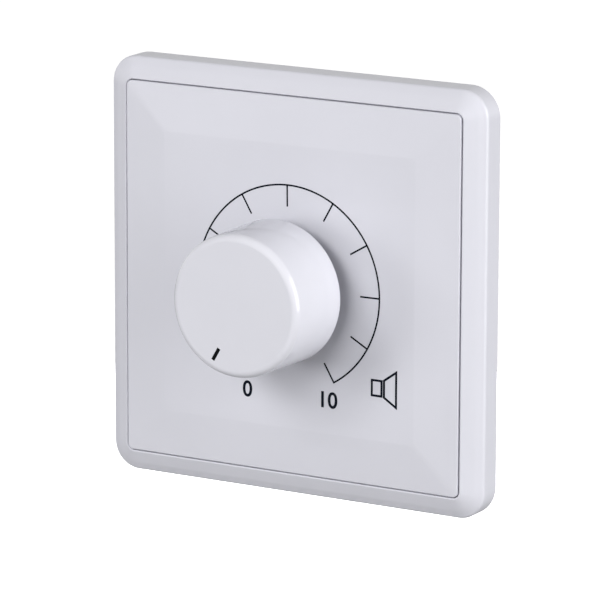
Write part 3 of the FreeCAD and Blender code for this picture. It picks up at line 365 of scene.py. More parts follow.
def soften(piece, width=0.12, segments=2):
    """Bevel the sharp edges of a piece with a modifier that is then applied."""
    activate(piece)
    modifier = piece.modifiers.new("soft_edges", "BEVEL")
    modifier.width = width * MM
    modifier.segments = segments
    modifier.limit_method = "ANGLE"
    bpy.ops.object.modifier_apply(modifier=modifier.name)
    return piece


print("block helpers ready")

# %% [markdown]
# ## Legs behind the plate
# Four hooked legs snap into slots of the support plate. A hook could be a block of its own,
# but it would only touch its leg. So the leg's outer side is subdivided, the cut is moved to
# where the hook starts, and the faces behind it are extruded sideways.

# %% Model the snap legs
LEG_THICK = 1.3
LEG_WIDE = 5.0
LEG_X = 22.0
LEG_Z = 9.0
LEG_END = 1.5
HOOK_START = 0.3
HOOK_DEPTH = 0.7
NEARLY_ONE = 0.9
NEAR_CUT = 0.1


def leg(side_x, side_z):
    """One leg of the plate with its hook turned outwards."""
    length = PLATE_INSIDE + LEG_END
    middle = LEG_END - length / 2
    piece = block((LEG_THICK, length, LEG_WIDE), (side_x * LEG_X, middle, side_z * LEG_Z))

    def outer(face):
        return face.normal.x * side_x > NEARLY_ONE

    edit()
    pick("FACE", outer)
    bpy.ops.mesh.subdivide(number_cuts=1)
    pick("VERT", lambda vert: abs(vert.co.y - middle * MM) < NEAR_CUT * MM)
    bpy.ops.transform.translate(value=(0, (HOOK_START - middle) * MM, 0))
    pick("FACE", lambda face: outer(face) and face.calc_center_median().y > HOOK_START * MM)
    step = (side_x * HOOK_DEPTH * MM, 0, 0)
    bpy.ops.mesh.extrude_region_move(TRANSFORM_OT_translate={"value": step})
    done()
    return soften(piece)


legs = [leg(side_x, side_z) for side_x in SIDES for side_z in SIDES]
print(len(legs), "legs")

# %% [markdown]
# ## Ribs behind the plate
# Thin ribs stiffen the plate: a ring round the nut of the switch, and four straight ones
# from there to the skirt. The ring is a circle whose edge is extruded, and a modifier gives
# the wall its thickness.
# All of the plate is then one moulding. It has a little play in the frame's opening, and in
# the photograph it lies a few hundredths of a millimetre to the left.

# %% Model the ribs and join the plate
NUT_RING_RADIUS = 9.2
NUT_RING_BACK = 1.8
NUT_RING_LENGTH = 3.55
NUT_RING_POINTS = 72
RIB_START = 9.7
PLATE_PLAY = -0.06


def rib_ring():
    """A ring wall round the nut."""
    deselect_all()
    bpy.ops.mesh.primitive_circle_add(
        vertices=NUT_RING_POINTS,
        radius=NUT_RING_RADIUS * MM,
        location=place(0, -NUT_RING_BACK, 0),
        rotation=(math.pi / 2, 0, 0),
    )
    wall = named("rib_ring")
    edit()
    bpy.ops.mesh.select_all(action="SELECT")
    step = (0, -NUT_RING_LENGTH * MM, 0)
    bpy.ops.mesh.extrude_edges_move(TRANSFORM_OT_translate={"value": step})
    done()
    modifier = wall.modifiers.new("wall", "SOLIDIFY")
    modifier.thickness = RIB_WIDTH * MM
    modifier.offset = 1
    bpy.ops.object.modifier_apply(modifier=modifier.name)
    return wall


rib_length = SKIRT_INNER - RIB_START
rib_depth = PLATE_INSIDE - SKIRT_END
rib_height = (PLATE_INSIDE + SKIRT_END) / 2
ribs = [rib_ring()]
for side in SIDES:
    middle = side * (RIB_START + SKIRT_INNER) / 2
    ribs.append(block((rib_length, rib_depth, RIB_WIDTH), (middle, -rib_height, 0)))
    ribs.append(block((RIB_WIDTH, rib_depth, rib_length), (0, -rib_height, middle)))
plate = join("plate_moulding", [plate_shell] + legs + ribs)
outwards(plate)
plate.data.transform(Matrix.Translation(place(PLATE_PLAY, 0, 0)))
smooth(plate)
print(plate.name, len(plate.data.polygons), "faces")

# %% [markdown]
# ## A round face that grows
# The knob could be spun from a profile. Here a round face is extruded and resized step by
# step instead, so that every radius and every height is a number that is easily changed.

# %% Helpers that extrude a round face or edge
KNOB_POINTS = 128


def extrude_face(distance):
    """Extrude the selected face towards the front by a distance in millimetres."""
    bpy.ops.mesh.extrude_region_move(TRANSFORM_OT_translate={"value": (0, -distance * MM, 0)})


def resize(ratio, height):
    """Scale the selection about the knob's axis, at a height above the wall."""
    bpy.ops.transform.resize(value=(ratio, 1, ratio), center_override=place(0, -height, 0))


def at_height(height):
    """A test for points, edges or faces that lie flat at a height."""

    def test(item):
        points = [item] if isinstance(item, bmesh.types.BMVert) else item.verts
        return all(abs(point.co.y + height * MM) < SAME_PLACE * MM for point in points)

    return test


print("the knob has", KNOB_POINTS, "points round its rim")

# %% [markdown]
# ## The knob
# The knob is a hollow cap whose radius shrinks by 0.3 mm towards its front, so that it leaves
# its mould. Its outside is a round face, extruded and resized, and the edge of its front is
# bevelled. The rear face is then deleted, so that the skin is open there, and the edge it
# leaves is extruded inwards and on to the floor of the hollow.

# %% Model the knob's cap
KNOB_REAR_RADIUS = 13.6
KNOB_FRONT_RADIUS = 13.3
KNOB_EDGE = 1.4
KNOB_EDGE_STEPS = 12
HOLLOW_RADIUS = 11.5
KNOB_INSIDE = 24.6

deselect_all()
bpy.ops.mesh.primitive_circle_add(
    vertices=KNOB_POINTS,
    radius=KNOB_REAR_RADIUS * MM,
    fill_type="NGON",
    location=place(0, -KNOB_REAR, 0),
    rotation=(math.pi / 2, 0, 0),
)
cap = named("knob_cap")
edit()
pick("FACE", lambda face: True)
extrude_face(KNOB_FRONT - KNOB_REAR)
resize(KNOB_FRONT_RADIUS / KNOB_REAR_RADIUS, KNOB_FRONT)
pick("EDGE", at_height(KNOB_FRONT))
bpy.ops.mesh.bevel(offset=KNOB_EDGE * MM, segments=KNOB_EDGE_STEPS, affect="EDGES")
pick("FACE", at_height(KNOB_REAR))
bpy.ops.mesh.delete(type="ONLY_FACE")
pick("EDGE", at_height(KNOB_REAR))
bpy.ops.mesh.extrude_edges_move()
resize(HOLLOW_RADIUS / KNOB_REAR_RADIUS, KNOB_REAR)
to_floor = (0, (KNOB_REAR - KNOB_INSIDE) * MM, 0)
bpy.ops.mesh.extrude_edges_move(TRANSFORM_OT_translate={"value": to_floor})
bpy.ops.mesh.edge_face_add()
print(cap.name, len(bmesh.from_edit_mesh(cap.data).faces), "faces so far")

# %% [markdown]
# ## The hub inside the knob
# The hub grows from the floor of the hollow: the floor is extruded and resized to the
# hub's radius, raised to the groove of the spring ring, narrowed, widened again and raised
# to its end, where the bore for the shaft goes back in. Cap and hub stay one unbroken skin,
# as in the mould.

# %% Raise the hub and sink the bore
HUB_RADIUS = 5.2
GROOVE_RADIUS = 4.6
HUB_BACK = 9.05
RING_BACK = 11.05
RING_FRONT = 12.05
BORE_RADIUS = 3.04


def hub_step(radius, new_radius, height, new_height):
    """Extrude the selected round face to a new radius and a new height."""
    bpy.ops.mesh.extrude_region_move()
    resize(new_radius / radius, height)
    bpy.ops.transform.translate(value=(0, (height - new_height) * MM, 0))


steps = [
    (HOLLOW_RADIUS, KNOB_INSIDE),
    (HUB_RADIUS, KNOB_INSIDE),
    (HUB_RADIUS, RING_FRONT),
    (GROOVE_RADIUS, RING_FRONT),
    (GROOVE_RADIUS, RING_BACK),
    (HUB_RADIUS, RING_BACK),
    (HUB_RADIUS, HUB_BACK),
    (BORE_RADIUS, HUB_BACK),
    (BORE_RADIUS, KNOB_INSIDE),
]
for (radius, height), (new_radius, new_height) in zip(steps, steps[1:]):
    hub_step(radius, new_radius, height, new_height)
done()
print(cap.name, len(cap.data.polygons), "faces with its hub")

# %% [markdown]
# ## Ribs between hub and wall
# Six thin ribs carry the hub in the hollow. One is modelled and the rest are turned copies,
# each with its own mesh. The finished knob is turned to its first position, where the mark
# points down to the left.

# %% Add the ribs and turn the knob to rest
def copy_of(piece):
    """A copy of a piece with its own mesh."""
    twin = piece.copy()
    twin.data = piece.data.copy()
    bpy.context.collection.objects.link(twin)
    return twin


def turn_about_axis(piece, angle):
    """Turn a piece's mesh clockwise about the knob's axis, as seen from the front."""
    piece.data.transform(Matrix.Rotation(angle, 4, "Y"))
    return piece


KNOB_RIBS = 6
KNOB_RIB_INNER = 4.3
KNOB_RIB_OUTER = 11.9
KNOB_RIB_BACK = KNOB_REAR + 4.0

first_rib = block(
    (KNOB_RIB_OUTER - KNOB_RIB_INNER, KNOB_INSIDE - KNOB_RIB_BACK, RIB_WIDTH),
    ((KNOB_RIB_OUTER + KNOB_RIB_INNER) / 2, -(KNOB_INSIDE + KNOB_RIB_BACK) / 2, 0),
)
knob_ribs = [first_rib]
for number in range(1, KNOB_RIBS):
    knob_ribs.append(turn_about_axis(copy_of(first_rib), 2 * math.pi * number / KNOB_RIBS))
outwards(cap)
smooth(cap)
knob = join("knob_moulding", [cap] + knob_ribs)
turn_about_axis(knob, REST_TURN)
print(knob.name, len(knob.data.polygons), "faces")

# %% [markdown]
# ## The mark on the knob
# The mark is a groove filled with black paint, a little beside the line to the middle. As
# the paint hides the whole groove, only the paint is modelled: a block from the groove's
# floor to just above the face. Its edges are bevelled, as paint draws back from an edge.

# %% Model the painted mark
MARK_OUTER = 11.2
MARK_SIDE = -1.3
MARK_LENGTH = 2.6
MARK_WIDTH = 0.7
MARK_DEPTH = 0.2
PAINT_PROUD = 0.03
PAINT_BEVEL = 0.02

mark = block(
    (MARK_WIDTH, MARK_DEPTH + PAINT_PROUD, MARK_LENGTH),
    (MARK_SIDE, (MARK_DEPTH - PAINT_PROUD) / 2 - KNOB_FRONT, MARK_OUTER - MARK_LENGTH / 2),
)
soften(mark, PAINT_BEVEL)
mark.name = "knob_mark"
turn_about_axis(mark, REST_TURN)
print(mark.name, "at", [round(value / MM, 2) for value in mark.data.vertices[0].co])

# %% [markdown]
# ## The printed scale
# Screen printing leaves a skin of ink a few hundredths of a millimetre thick. A picture on
# the plate could show it, but would blur up close, so the ink is a thin shape of its own.
# The arc is a small upright rectangle, spun round the knob's axis.

# %% Print the arc
INK = 0.03
SCALE_RADIUS = 19.53
LINE_WIDTH = 0.32
SWEEP = math.radians(300)
ARC_STEPS = 150

deselect_all()
bpy.ops.mesh.primitive_plane_add(
    size=1,
    location=place(0, -(FLAT_HEIGHT + INK / 2), SCALE_RADIUS - LINE_WIDTH / 2),
    rotation=(0, math.pi / 2, 0),
)
bpy.context.object.scale = (LINE_WIDTH * MM, INK * MM, 1)
arc = named("scale_arc")
turn_about_axis(arc, REST_TURN)
activate(arc)
edit()
bpy.ops.mesh.select_all(action="SELECT")
bpy.ops.mesh.spin(steps=ARC_STEPS, angle=SWEEP, center=(0, 0, 0), axis=(0, -1, 0))
done()
outwards(arc)
print(arc.name, len(arc.data.polygons), "faces")

# %% [markdown]
# ## The ticks of the scale
# Eleven ticks point inwards from the arc, one for each setting of the switch. A thin block is
# modelled at the top and copied, and each copy is turned to its place. A print is never quite
# true, and this one sits an eighth of a millimetre low and less than a degree askew.

# %% Print the ticks
TICKS = 11
TICK_LENGTH = 4.2
TICK_BEVEL = 0.01
PRINT_ASKEW = math.radians(-0.6)
PRINT_SHIFT = (0.05, 0, -0.12)

tick = block(
    (LINE_WIDTH, INK, TICK_LENGTH),
    (0, -(FLAT_HEIGHT + INK / 2), SCALE_RADIUS - TICK_LENGTH / 2),
)
soften(tick, TICK_BEVEL, segments=1)
ticks = [
    turn_about_axis(copy_of(tick), REST_TURN + number * SWEEP / (TICKS - 1))
    for number in range(TICKS)
]
bpy.data.objects.remove(tick)
scale = join("scale_print", [arc] + ticks)
turn_about_axis(scale, PRINT_ASKEW)
scale.data.transform(Matrix.Translation(place(*PRINT_SHIFT)))
print(scale.name, len(scale.data.polygons), "faces")

# %% [markdown]
# ## Numbers at the ends of the scale
# The lowest and the highest setting carry plain numbers. Text is typed as a text object,
# its outline is moved outwards for a bolder stroke, and it is made as thick as the ink,
# turned to face the front and converted to a mesh. Only then does its place go into the mesh.
# A digit is not as high as the size of its text, so the size follows from the wanted height.

# %% Print the numbers
STROKE_OFFSET = 0.07
DIGIT_HEIGHT = 3.1
DIGIT_SHARE = 0.72
NUMBER_X = 8.6
NUMBER_Z = -20.4


def number_print(words, centre_x):
    """A printed number, centred at a place below the scale."""
    deselect_all()
    bpy.ops.object.text_add(rotation=(math.pi / 2, 0, 0))
    text = bpy.context.object
    text.data.body = words
    text.data.align_x = "CENTER"
    text.data.align_y = "CENTER"
    text.data.size = DIGIT_HEIGHT / DIGIT_SHARE * MM
    text.data.extrude = INK / 2 * MM
    text.data.offset = STROKE_OFFSET * MM
    text.data.resolution_u = 6
    bpy.ops.object.convert(target="MESH")
    text = bpy.context.object
    text.location = place(centre_x, -(FLAT_HEIGHT + INK / 2), NUMBER_Z)
    return named("number_" + words)


numbers = [number_print("0", -NUMBER_X), number_print("10", NUMBER_X)]
number_ink = join("scale_numbers", numbers)
print(number_ink.name, [round(value / MM, 1) for value in number_ink.dimensions])

# %% [markdown]
# ## The loudspeaker sign
# A small box and a widening cone, both only outlined, say what the control is for. Each is
# a plane shaped in edit mode, inset for the width of the line and opened in the middle,
# and then extruded by the thickness of the ink.

# %% Print the sign
SIGN_LINE = 0.42


def line_shape(name, corners):
    """An outlined shape of ink whose outer corners are given in millimetres."""
    deselect_all()
    bpy.ops.mesh.primitive_plane_add(size=MM, rotation=(math.pi / 2, 0, 0))
    shape = named(name)
    for vert in shape.data.vertices:
        right = vert.co.x > 0
        top = vert.co.z > 0
        x, z = corners[(right, top)]
        vert.co = place(x, -FLAT_HEIGHT, z)
    edit()
    bpy.ops.mesh.select_all(action="SELECT")
    bpy.ops.mesh.inset(thickness=SIGN_LINE * MM)
    bpy.ops.mesh.delete(type="FACE")
    bpy.ops.mesh.select_all(action="SELECT")
    extrude_face(INK)
    done()
    return outwards(shape)


sign_box = line_shape(
    "sign_box",
    {
        (False, False): (17.75, -18.35),
        (False, True): (17.75, -15.05),
        (True, False): (20.2, -18.35),
        (True, True): (20.2, -15.05),
    },
)
sign_cone = line_shape(
    "sign_cone",
    {
        (False, False): (20.3, -18.4),
        (False, True): (20.3, -15.0),
        (True, False): (23.25, -20.3),
        (True, True): (23.25, -12.9),
    },
)
sign = join("loudspeaker_sign", [sign_box, sign_cone])
print(sign.name, len(sign.data.polygons), "faces")

# %% [markdown]
# ## Solder on the circuit board
# Each pin that passes through the board ends in a small cone of solder. While it is molten,
# solder climbs the pin and wets the copper round the hole, so the cone is wide and low at its
# foot and thin at its top. It is raised from a round face by extrusions that get smaller.

# %% Helper that raises a cone of solder
BOARD_FRONT = 12.6
BOARD_BACK = 14.2
JOINT_RADIUS = 0.95
JOINT_POINTS = 20
# How far each step of the cone stands off the pin, and its share of the height.
CONE_STEPS = ((0.25, 0.3), (0.1, 0.3), (0.03, 0.4))


def solder_joint(centre_x, centre_z, pin_radius, height, behind):
    """A cone of solder round one pin, behind the board or on its front."""
    side = 1 if behind else -1
    face = BOARD_BACK if behind else BOARD_FRONT
    centre = place(centre_x, face, centre_z)
    deselect_all()
    bpy.ops.mesh.primitive_circle_add(
        vertices=JOINT_POINTS,
        radius=JOINT_RADIUS * MM,
        fill_type="NGON",
        location=centre,
        rotation=(math.pi / 2, 0, 0),
    )
    joint = named("solder_joint")
    edit()
    bpy.ops.mesh.select_all(action="SELECT")
    radius = JOINT_RADIUS
    for wider, share in CONE_STEPS:
        step = (0, side * share * height * MM, 0)
        bpy.ops.mesh.extrude_region_move(TRANSFORM_OT_translate={"value": step})
        ratio = (pin_radius + wider) / radius
        bpy.ops.transform.resize(value=(ratio, 1, ratio), center_override=centre)
        radius = pin_radius + wider
    done()
    return joint


print("solder helper ready")

# %% [markdown]
# ## Solder every pin
# The switch stands before the board, so its pins are soldered behind it. The transformer and
# the terminals stand behind the board, and their pins are soldered on its front. All pins
# but one stand evenly on a circle or in rows, so loops place the cones.

# %% Solder the pins of the switch, the bobbin and the terminals
THICK_PIN = {"pin_radius": 0.5, "height": 0.8}
THIN_PIN = {"pin_radius": 0.4, "height": 0.65}
COMMON_Z = -3.5
CONTACT_RADIUS = 7.6
CONTACT_PITCH = math.radians(30)
BOBBIN_X = -7.5
BOBBIN_PITCH = 3.0
BOBBIN_Z = 10.1
TERMINAL_X = -7.62
TERMINAL_PITCH = 5.08
TERMINAL_Z = -17.8

joints = [solder_joint(0, COMMON_Z, **THICK_PIN, behind=True)]
for number in range(-5, 6):
    turn = CONTACT_PITCH * number
    contact = (CONTACT_RADIUS * math.sin(turn), CONTACT_RADIUS * math.cos(turn))
    joints.append(solder_joint(*contact, **THICK_PIN, behind=True))
for number in range(6):
    for side in SIDES:
        pin_x = BOBBIN_X + BOBBIN_PITCH * number
        joints.append(solder_joint(pin_x, side * BOBBIN_Z, **THIN_PIN, behind=False))
for number in range(4):
    pin_x = TERMINAL_X + TERMINAL_PITCH * number
    joints.append(solder_joint(pin_x, TERMINAL_Z, **THICK_PIN, behind=False))

# %% [markdown]
# ## Lands round the screws
# A ring of tinned copper lies under each screw head, so that the board isn't crushed and the
# plate behind it is connected. It is a circle whose edges are extruded outwards and then
# raised by the thickness of the copper.

# %% Lay the lands and join them with the joints
LAND_INNER = 1.7
LAND_OUTER = 3.7
LAND_POINTS = 48
COPPER = 0.04
SCREW_PLACE = 17.0


def land(centre_x, centre_z):
    """A ring of tinned copper on the back of the board."""
    centre = place(centre_x, BOARD_BACK, centre_z)
    deselect_all()
    bpy.ops.mesh.primitive_circle_add(
        vertices=LAND_POINTS,
        radius=LAND_INNER * MM,
        location=centre,
        rotation=(math.pi / 2, 0, 0),
    )
    copper_ring = named("land")
    edit()
    bpy.ops.mesh.select_all(action="SELECT")
    bpy.ops.mesh.extrude_edges_move()
    ratio = LAND_OUTER / LAND_INNER
    bpy.ops.transform.resize(value=(ratio, 1, ratio), center_override=centre)
    bpy.ops.mesh.select_all(action="SELECT")
    bpy.ops.mesh.extrude_region_move(TRANSFORM_OT_translate={"value": (0, COPPER * MM, 0)})
    done()
    return copper_ring


lands = [land(side_x * SCREW_PLACE, side_z * SCREW_PLACE) for side_x in SIDES for side_z in SIDES]
soldering = join("board_solder", joints + lands)
outwards(soldering)
smooth(soldering, degrees=50)
print(soldering.name, len(soldering.data.polygons), "faces")

# %% [markdown]
# ## Materials built from nodes
# No surface is the same all over, so in every finish patterns move the colour, the
# roughness and the height a little. The same few nodes do that each time, so helpers add
# them. All patterns read Object coordinates, so they stay on the piece.

# %% Helpers that build materials from nodes
# A noise pattern keeps mostly between these two values.
NOISE_LOW = 0.3
NOISE_HIGH = 0.7


def new_material(name):
    """A material with its nodes, its links and its main shader."""
    material = bpy.data.materials.new(name)
    material.use_nodes = True
    tree = material.node_tree
    shader = next(node for node in tree.nodes if node.type == "BSDF_PRINCIPLED")
    return material, tree, shader


def noise(tree, per_mm, detail=3.0, stretch=(1, 1, 1)):
    """A noise pattern on the piece, given by its grains per millimetre."""
    where = tree.nodes.new("ShaderNodeTexCoord")
    mapping = tree.nodes.new("ShaderNodeMapping")
    mapping.inputs["Scale"].default_value = [per_mm / MM * part for part in stretch]
    pattern = tree.nodes.new("ShaderNodeTexNoise")
    pattern.inputs["Scale"].default_value = 1.0
    pattern.inputs["Detail"].default_value = detail
    tree.links.new(where.outputs["Object"], mapping.inputs["Vector"])
    tree.links.new(mapping.outputs["Vector"], pattern.inputs["Vector"])
    return pattern.outputs["Fac"]


def between(tree, factor, low, high):
    """A number that runs from low to high as a pattern runs between its usual values."""
    spread = tree.nodes.new("ShaderNodeMapRange")
    spread.inputs["From Min"].default_value = NOISE_LOW
    spread.inputs["From Max"].default_value = NOISE_HIGH
    spread.inputs["To Min"].default_value = low
    spread.inputs["To Max"].default_value = high
    tree.links.new(factor, spread.inputs["Value"])
    return spread.outputs["Result"]


def colour_between(tree, shader, factor, first, second):
    """Let the colour of a surface follow a pattern from the first to the second."""
    mix = tree.nodes.new("ShaderNodeMix")
    mix.data_type = "RGBA"
    mix.inputs["A"].default_value = (*first, 1)
    mix.inputs["B"].default_value = (*second, 1)
    tree.links.new(between(tree, factor, 0.0, 1.0), mix.inputs["Factor"])
    tree.links.new(mix.outputs["Result"], shader.inputs["Base Color"])


def roughness_between(tree, shader, factor, low, high):
    """Let the roughness of a surface follow a pattern from low to high."""
    tree.links.new(between(tree, factor, low, high), shader.inputs["Roughness"])


def lift(tree, shader, factor, distance_mm):
    """Let a pattern lift the surface by a distance in millimetres."""
    bump = tree.nodes.new("ShaderNodeBump")
    bump.inputs["Distance"].default_value = distance_mm * MM
    bump.inputs["Strength"].default_value = 1.0
    tree.links.new(factor, bump.inputs["Height"])
    tree.links.new(bump.outputs["Normal"], shader.inputs["Normal"])


def tinted(colour, share):
    """A colour that is darker or lighter by a share."""
    return [part * share for part in colour]


def wear(piece, material):
    """Give a piece one material all over."""
    piece.data.materials.clear()
    piece.data.materials.append(material)


print("material helpers ready")

# %% [markdown]
# ## Moulded plastic
# The frame and the plate are the same pale plastic, and the knob is a little lighter and so
# well polished that its side mirrors the scale. The colour is even, but not perfectly: a
# soft, wide noise moves it by about one part in a hundred, a finer one moves the roughness by
# one part in ten, and a very fine one lifts the surface a little, like the skin of a mould.

# %% Mix the pale plastic
PALE = (0.708, 0.708, 0.768)
KNOB_PALE = (0.748, 0.748, 0.806)
TINT = 0.012
UNEVEN = 0.1


def pale_plastic(name, pale, roughness, grain_mm, grains_per_mm):
    """Moulded plastic with a polished or a slightly dull skin."""
    material, tree, shader = new_material(name)
    clouds = noise(tree, per_mm=0.05)
    colour_between(tree, shader, clouds, tinted(pale, 1 - TINT), tinted(pale, 1 + TINT))
    patches = noise(tree, per_mm=0.6, detail=5.0)
    low, high = roughness * (1 - UNEVEN), roughness * (1 + UNEVEN)
    roughness_between(tree, shader, patches, low, high)
    shader.inputs["IOR"].default_value = 1.5
    lift(tree, shader, noise(tree, grains_per_mm, detail=2.0), grain_mm)
    return material


frame_plastic = pale_plastic("frame_plastic", PALE, 0.31, grain_mm=0.004, grains_per_mm=4.0)
plate_plastic = pale_plastic("plate_plastic", PALE, 0.34, grain_mm=0.004, grains_per_mm=4.0)
knob_plastic = pale_plastic("knob_plastic", KNOB_PALE, 0.05, grain_mm=0.0006, grains_per_mm=0.5)
print("plastic mixed")

# %% [markdown]
# ## Ink and paint
# Printing ink and the paint of the mark are almost black. They are mostly pigment, so their
# skin mirrors less than bare plastic does, and it is never quite even.

# %% Mix the ink and dress the new mouldings
def ink_material(name, colour, roughness):
    """Printing ink with a faintly uneven skin."""
    material, tree, shader = new_material(name)
    colour_between(tree, shader, noise(tree, per_mm=1.5), tinted(colour, 0.85), colour)
    roughness_between(tree, shader, noise(tree, per_mm=3.0), roughness - 0.06, roughness + 0.06)
    shader.inputs["Specular IOR Level"].default_value = 0.1
    lift(tree, shader, noise(tree, per_mm=6.0), 0.003)
    return material


scale_ink = ink_material("scale_ink", (0.004, 0.006, 0.013), 0.42)
mark_paint = ink_material("mark_paint", (0.003, 0.003, 0.004), 0.4)
wear(cover, frame_plastic)
wear(plate, plate_plastic)
wear(knob, knob_plastic)
wear(mark, mark_paint)
for piece in (scale, number_ink, sign):
    wear(piece, scale_ink)
print("new mouldings dressed")

# %% [markdown]
# ## Metals, board and windings behind the plate
# What stands behind the wall is seen only from the back. Each finish still gets the grain of
# the real one: rolled and turned metal has fine lines along one direction, a moulded part
# has a dull, even skin, and a stack of sheets shows its sheets.
# The picture's noise filter treats a surface whose roughness is below about 0.27 as a
# mirror, and leaves patches where a pattern crosses that value. So no finish crosses it.

# %% Helpers for metals and dull plastics
def plain_metal(name, colour, roughness, stretch=(1, 1, 1), per_mm=2.0, lift_mm=0.004):
    """Bare or plated metal whose fine lines follow one direction."""
    material, tree, shader = new_material(name)
    streaks = noise(tree, per_mm=0.25, detail=4.0, stretch=stretch)
    colour_between(tree, shader, streaks, tinted(colour, 0.86), colour)
    shader.inputs["Metallic"].default_value = 1.0
    lines = noise(tree, per_mm, detail=4.0, stretch=stretch)
    roughness_between(tree, shader, lines, roughness - 0.08, roughness + 0.08)
    lift(tree, shader, noise(tree, 3 * per_mm, detail=3.0, stretch=stretch), lift_mm)
    return material


def dull_plastic(name, colour, roughness, per_mm=3.0, lift_mm=0.01):
    """Moulded plastic with a dull skin and a slight mottle."""
    material, tree, shader = new_material(name)
    mottle = noise(tree, per_mm=0.4, detail=4.0)
    colour_between(tree, shader, mottle, tinted(colour, 0.8), colour)
    patches = noise(tree, per_mm=1.2, detail=4.0)
    roughness_between(tree, shader, patches, roughness - 0.07, roughness + 0.07)
    lift(tree, shader, noise(tree, per_mm), lift_mm)
    return material


print("metal and plastic helpers ready")

# %% [markdown]
# ## Plain finishes
# Steel, brass, bronze and tin differ in their colour, in how dull they are and in the way
# their lines run, so each finish is one line of numbers. Small parts such as screws and
# balls are smoother than rolled sheet, so their surface is lifted less.

# %% Mix the plain finishes
ALONG_X = (0.06, 1, 1)
ALONG_Y = (1, 0.06, 1)
FINE = 0.001
zinc_steel = plain_metal("zinc_steel", (0.56, 0.57, 0.58), 0.37, ALONG_X)
screw_steel = plain_metal("screw_steel", (0.5, 0.5, 0.52), 0.36, lift_mm=FINE)
spring_steel = plain_metal("spring_steel", (0.42, 0.42, 0.43), 0.36, ALONG_Y)
ball_steel = plain_metal("ball_steel", (0.6, 0.6, 0.6), 0.12, lift_mm=FINE / 4)
nickel_brass = plain_metal("nickel_brass", (0.66, 0.62, 0.53), 0.36, lift_mm=FINE)
shaft_brass = plain_metal("shaft_brass", (0.71, 0.55, 0.28), 0.36, ALONG_Y)
contact_bronze = plain_metal("contact_bronze", (0.72, 0.6, 0.42), 0.36, lift_mm=FINE)
tinned_wire = plain_metal("tinned_wire", (0.62, 0.62, 0.6), 0.37, ALONG_Y)
solder = plain_metal("solder", (0.66, 0.67, 0.68), 0.36, lift_mm=FINE)
black_plastic = dull_plastic("black_plastic", (0.03, 0.03, 0.032), 0.5)
bobbin_plastic = dull_plastic("bobbin_plastic", (0.045, 0.045, 0.05), 0.45)
terminal_green = dull_plastic("terminal_green", (0.045, 0.25, 0.11), 0.38)
print("plain finishes mixed")

# %% [markdown]
# ## Finishes with a pattern
# Laminated board shows the weave of its glass cloth through the green lacquer. The core is a
# stack of thin sheets, so dark gaps run across it every half millimetre. Wound wire shows
# its turns, and the tape over it shows the edges of its layers. A picture could show such
# bands, but a wave texture only needs their number per millimetre.

# %% Mix the patterned finishes
# At a scale of one, a wave texture has this many bands per unit of length.
BANDS_PER_UNIT = 20 / (2 * math.pi)


def stripes(tree, axis, per_mm, distortion=0.0):
    """Even stripes across one axis of the piece, given per millimetre."""
    where = tree.nodes.new("ShaderNodeTexCoord")
    wave = tree.nodes.new("ShaderNodeTexWave")
    wave.wave_type = "BANDS"
    wave.bands_direction = axis
    wave.inputs["Scale"].default_value = per_mm / MM / BANDS_PER_UNIT
    wave.inputs["Distortion"].default_value = distortion
    tree.links.new(where.outputs["Object"], wave.inputs["Vector"])
    return wave.outputs["Fac"]


def striped(name, axis, per_mm, dark, light, roughness, lift_mm, metallic=0.0, distortion=0.0):
    """A finish whose colour and height follow even stripes."""
    material, tree, shader = new_material(name)
    bands = stripes(tree, axis, per_mm, distortion)
    colour_between(tree, shader, bands, dark, light)
    shader.inputs["Metallic"].default_value = metallic
    patches = noise(tree, per_mm=1.5, detail=4.0)
    roughness_between(tree, shader, patches, roughness - 0.06, roughness + 0.08)
    lift(tree, shader, bands, lift_mm)
    return material


core_steel = striped(
    "core_steel", "Z", 2.0, (0.05, 0.05, 0.055), (0.2, 0.2, 0.215), 0.42, 0.05, metallic=0.8
)
copper_wire = striped(
    "copper_wire", "Y", 3.5, (0.25, 0.07, 0.02), (0.62, 0.24, 0.08), 0.35, 0.05, metallic=0.9
)
tape_yellow = striped(
    "tape_yellow", "Y", 0.12, (0.62, 0.43, 0.05), (0.78, 0.58, 0.1), 0.35, 0.02, distortion=0.4
)
laminate_brown = striped(
    "laminate_brown", "Y", 5.0, (0.16, 0.085, 0.04), (0.24, 0.13, 0.065), 0.45, 0.01
)
board_green = striped(
    "board_green", "X", 2.2, (0.022, 0.14, 0.062), (0.03, 0.175, 0.08), 0.35, 0.006
)
print("patterned finishes mixed")

# %% [markdown]
# ## Dress the carried-over pieces
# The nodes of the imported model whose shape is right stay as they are, and only take a
# finish. One list says which node wears what.

# %% Give each node its finish
finishes = {
    "knob_spring": spring_steel,
    "support_plate": zinc_steel,
    "switch_housing": black_plastic,
    "stop_ring": zinc_steel,
    "lock_washer": spring_steel,
    "bush_nut": nickel_brass,
    "switch_spindle": shaft_brass,
    "detent_balls": ball_steel,
    "detent_spring": spring_steel,
    "wiper_contact": contact_bronze,
    "switch_base": laminate_brown,
    "switch_pins": contact_bronze,
    "circuit_board": board_green,
    "board_pillars": nickel_brass,
    "pillar_screws": screw_steel,
    "core_e_stack": core_steel,
    "core_i_stack": core_steel,
    "bobbin": bobbin_plastic,
    "bobbin_pins": tinned_wire,
    "winding": copper_wire,
    "winding_tape": tape_yellow,
    "transformer_clamp": zinc_steel,
    "clamp_screws": screw_steel,
    "clamp_nuts": screw_steel,
    "terminal_block": terminal_green,
    "terminal_clamps": nickel_brass,
    "terminal_screws": screw_steel,
}
for name, material in finishes.items():
    wear(nodes[name], material)
wear(soldering, solder)
print(len(finishes), "nodes dressed")

# %% [markdown]
# ## What rides on what
# The frame, the plate and the printing stay with the housing. The knob and its mark turn.
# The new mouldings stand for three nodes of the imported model, which are then not shown.

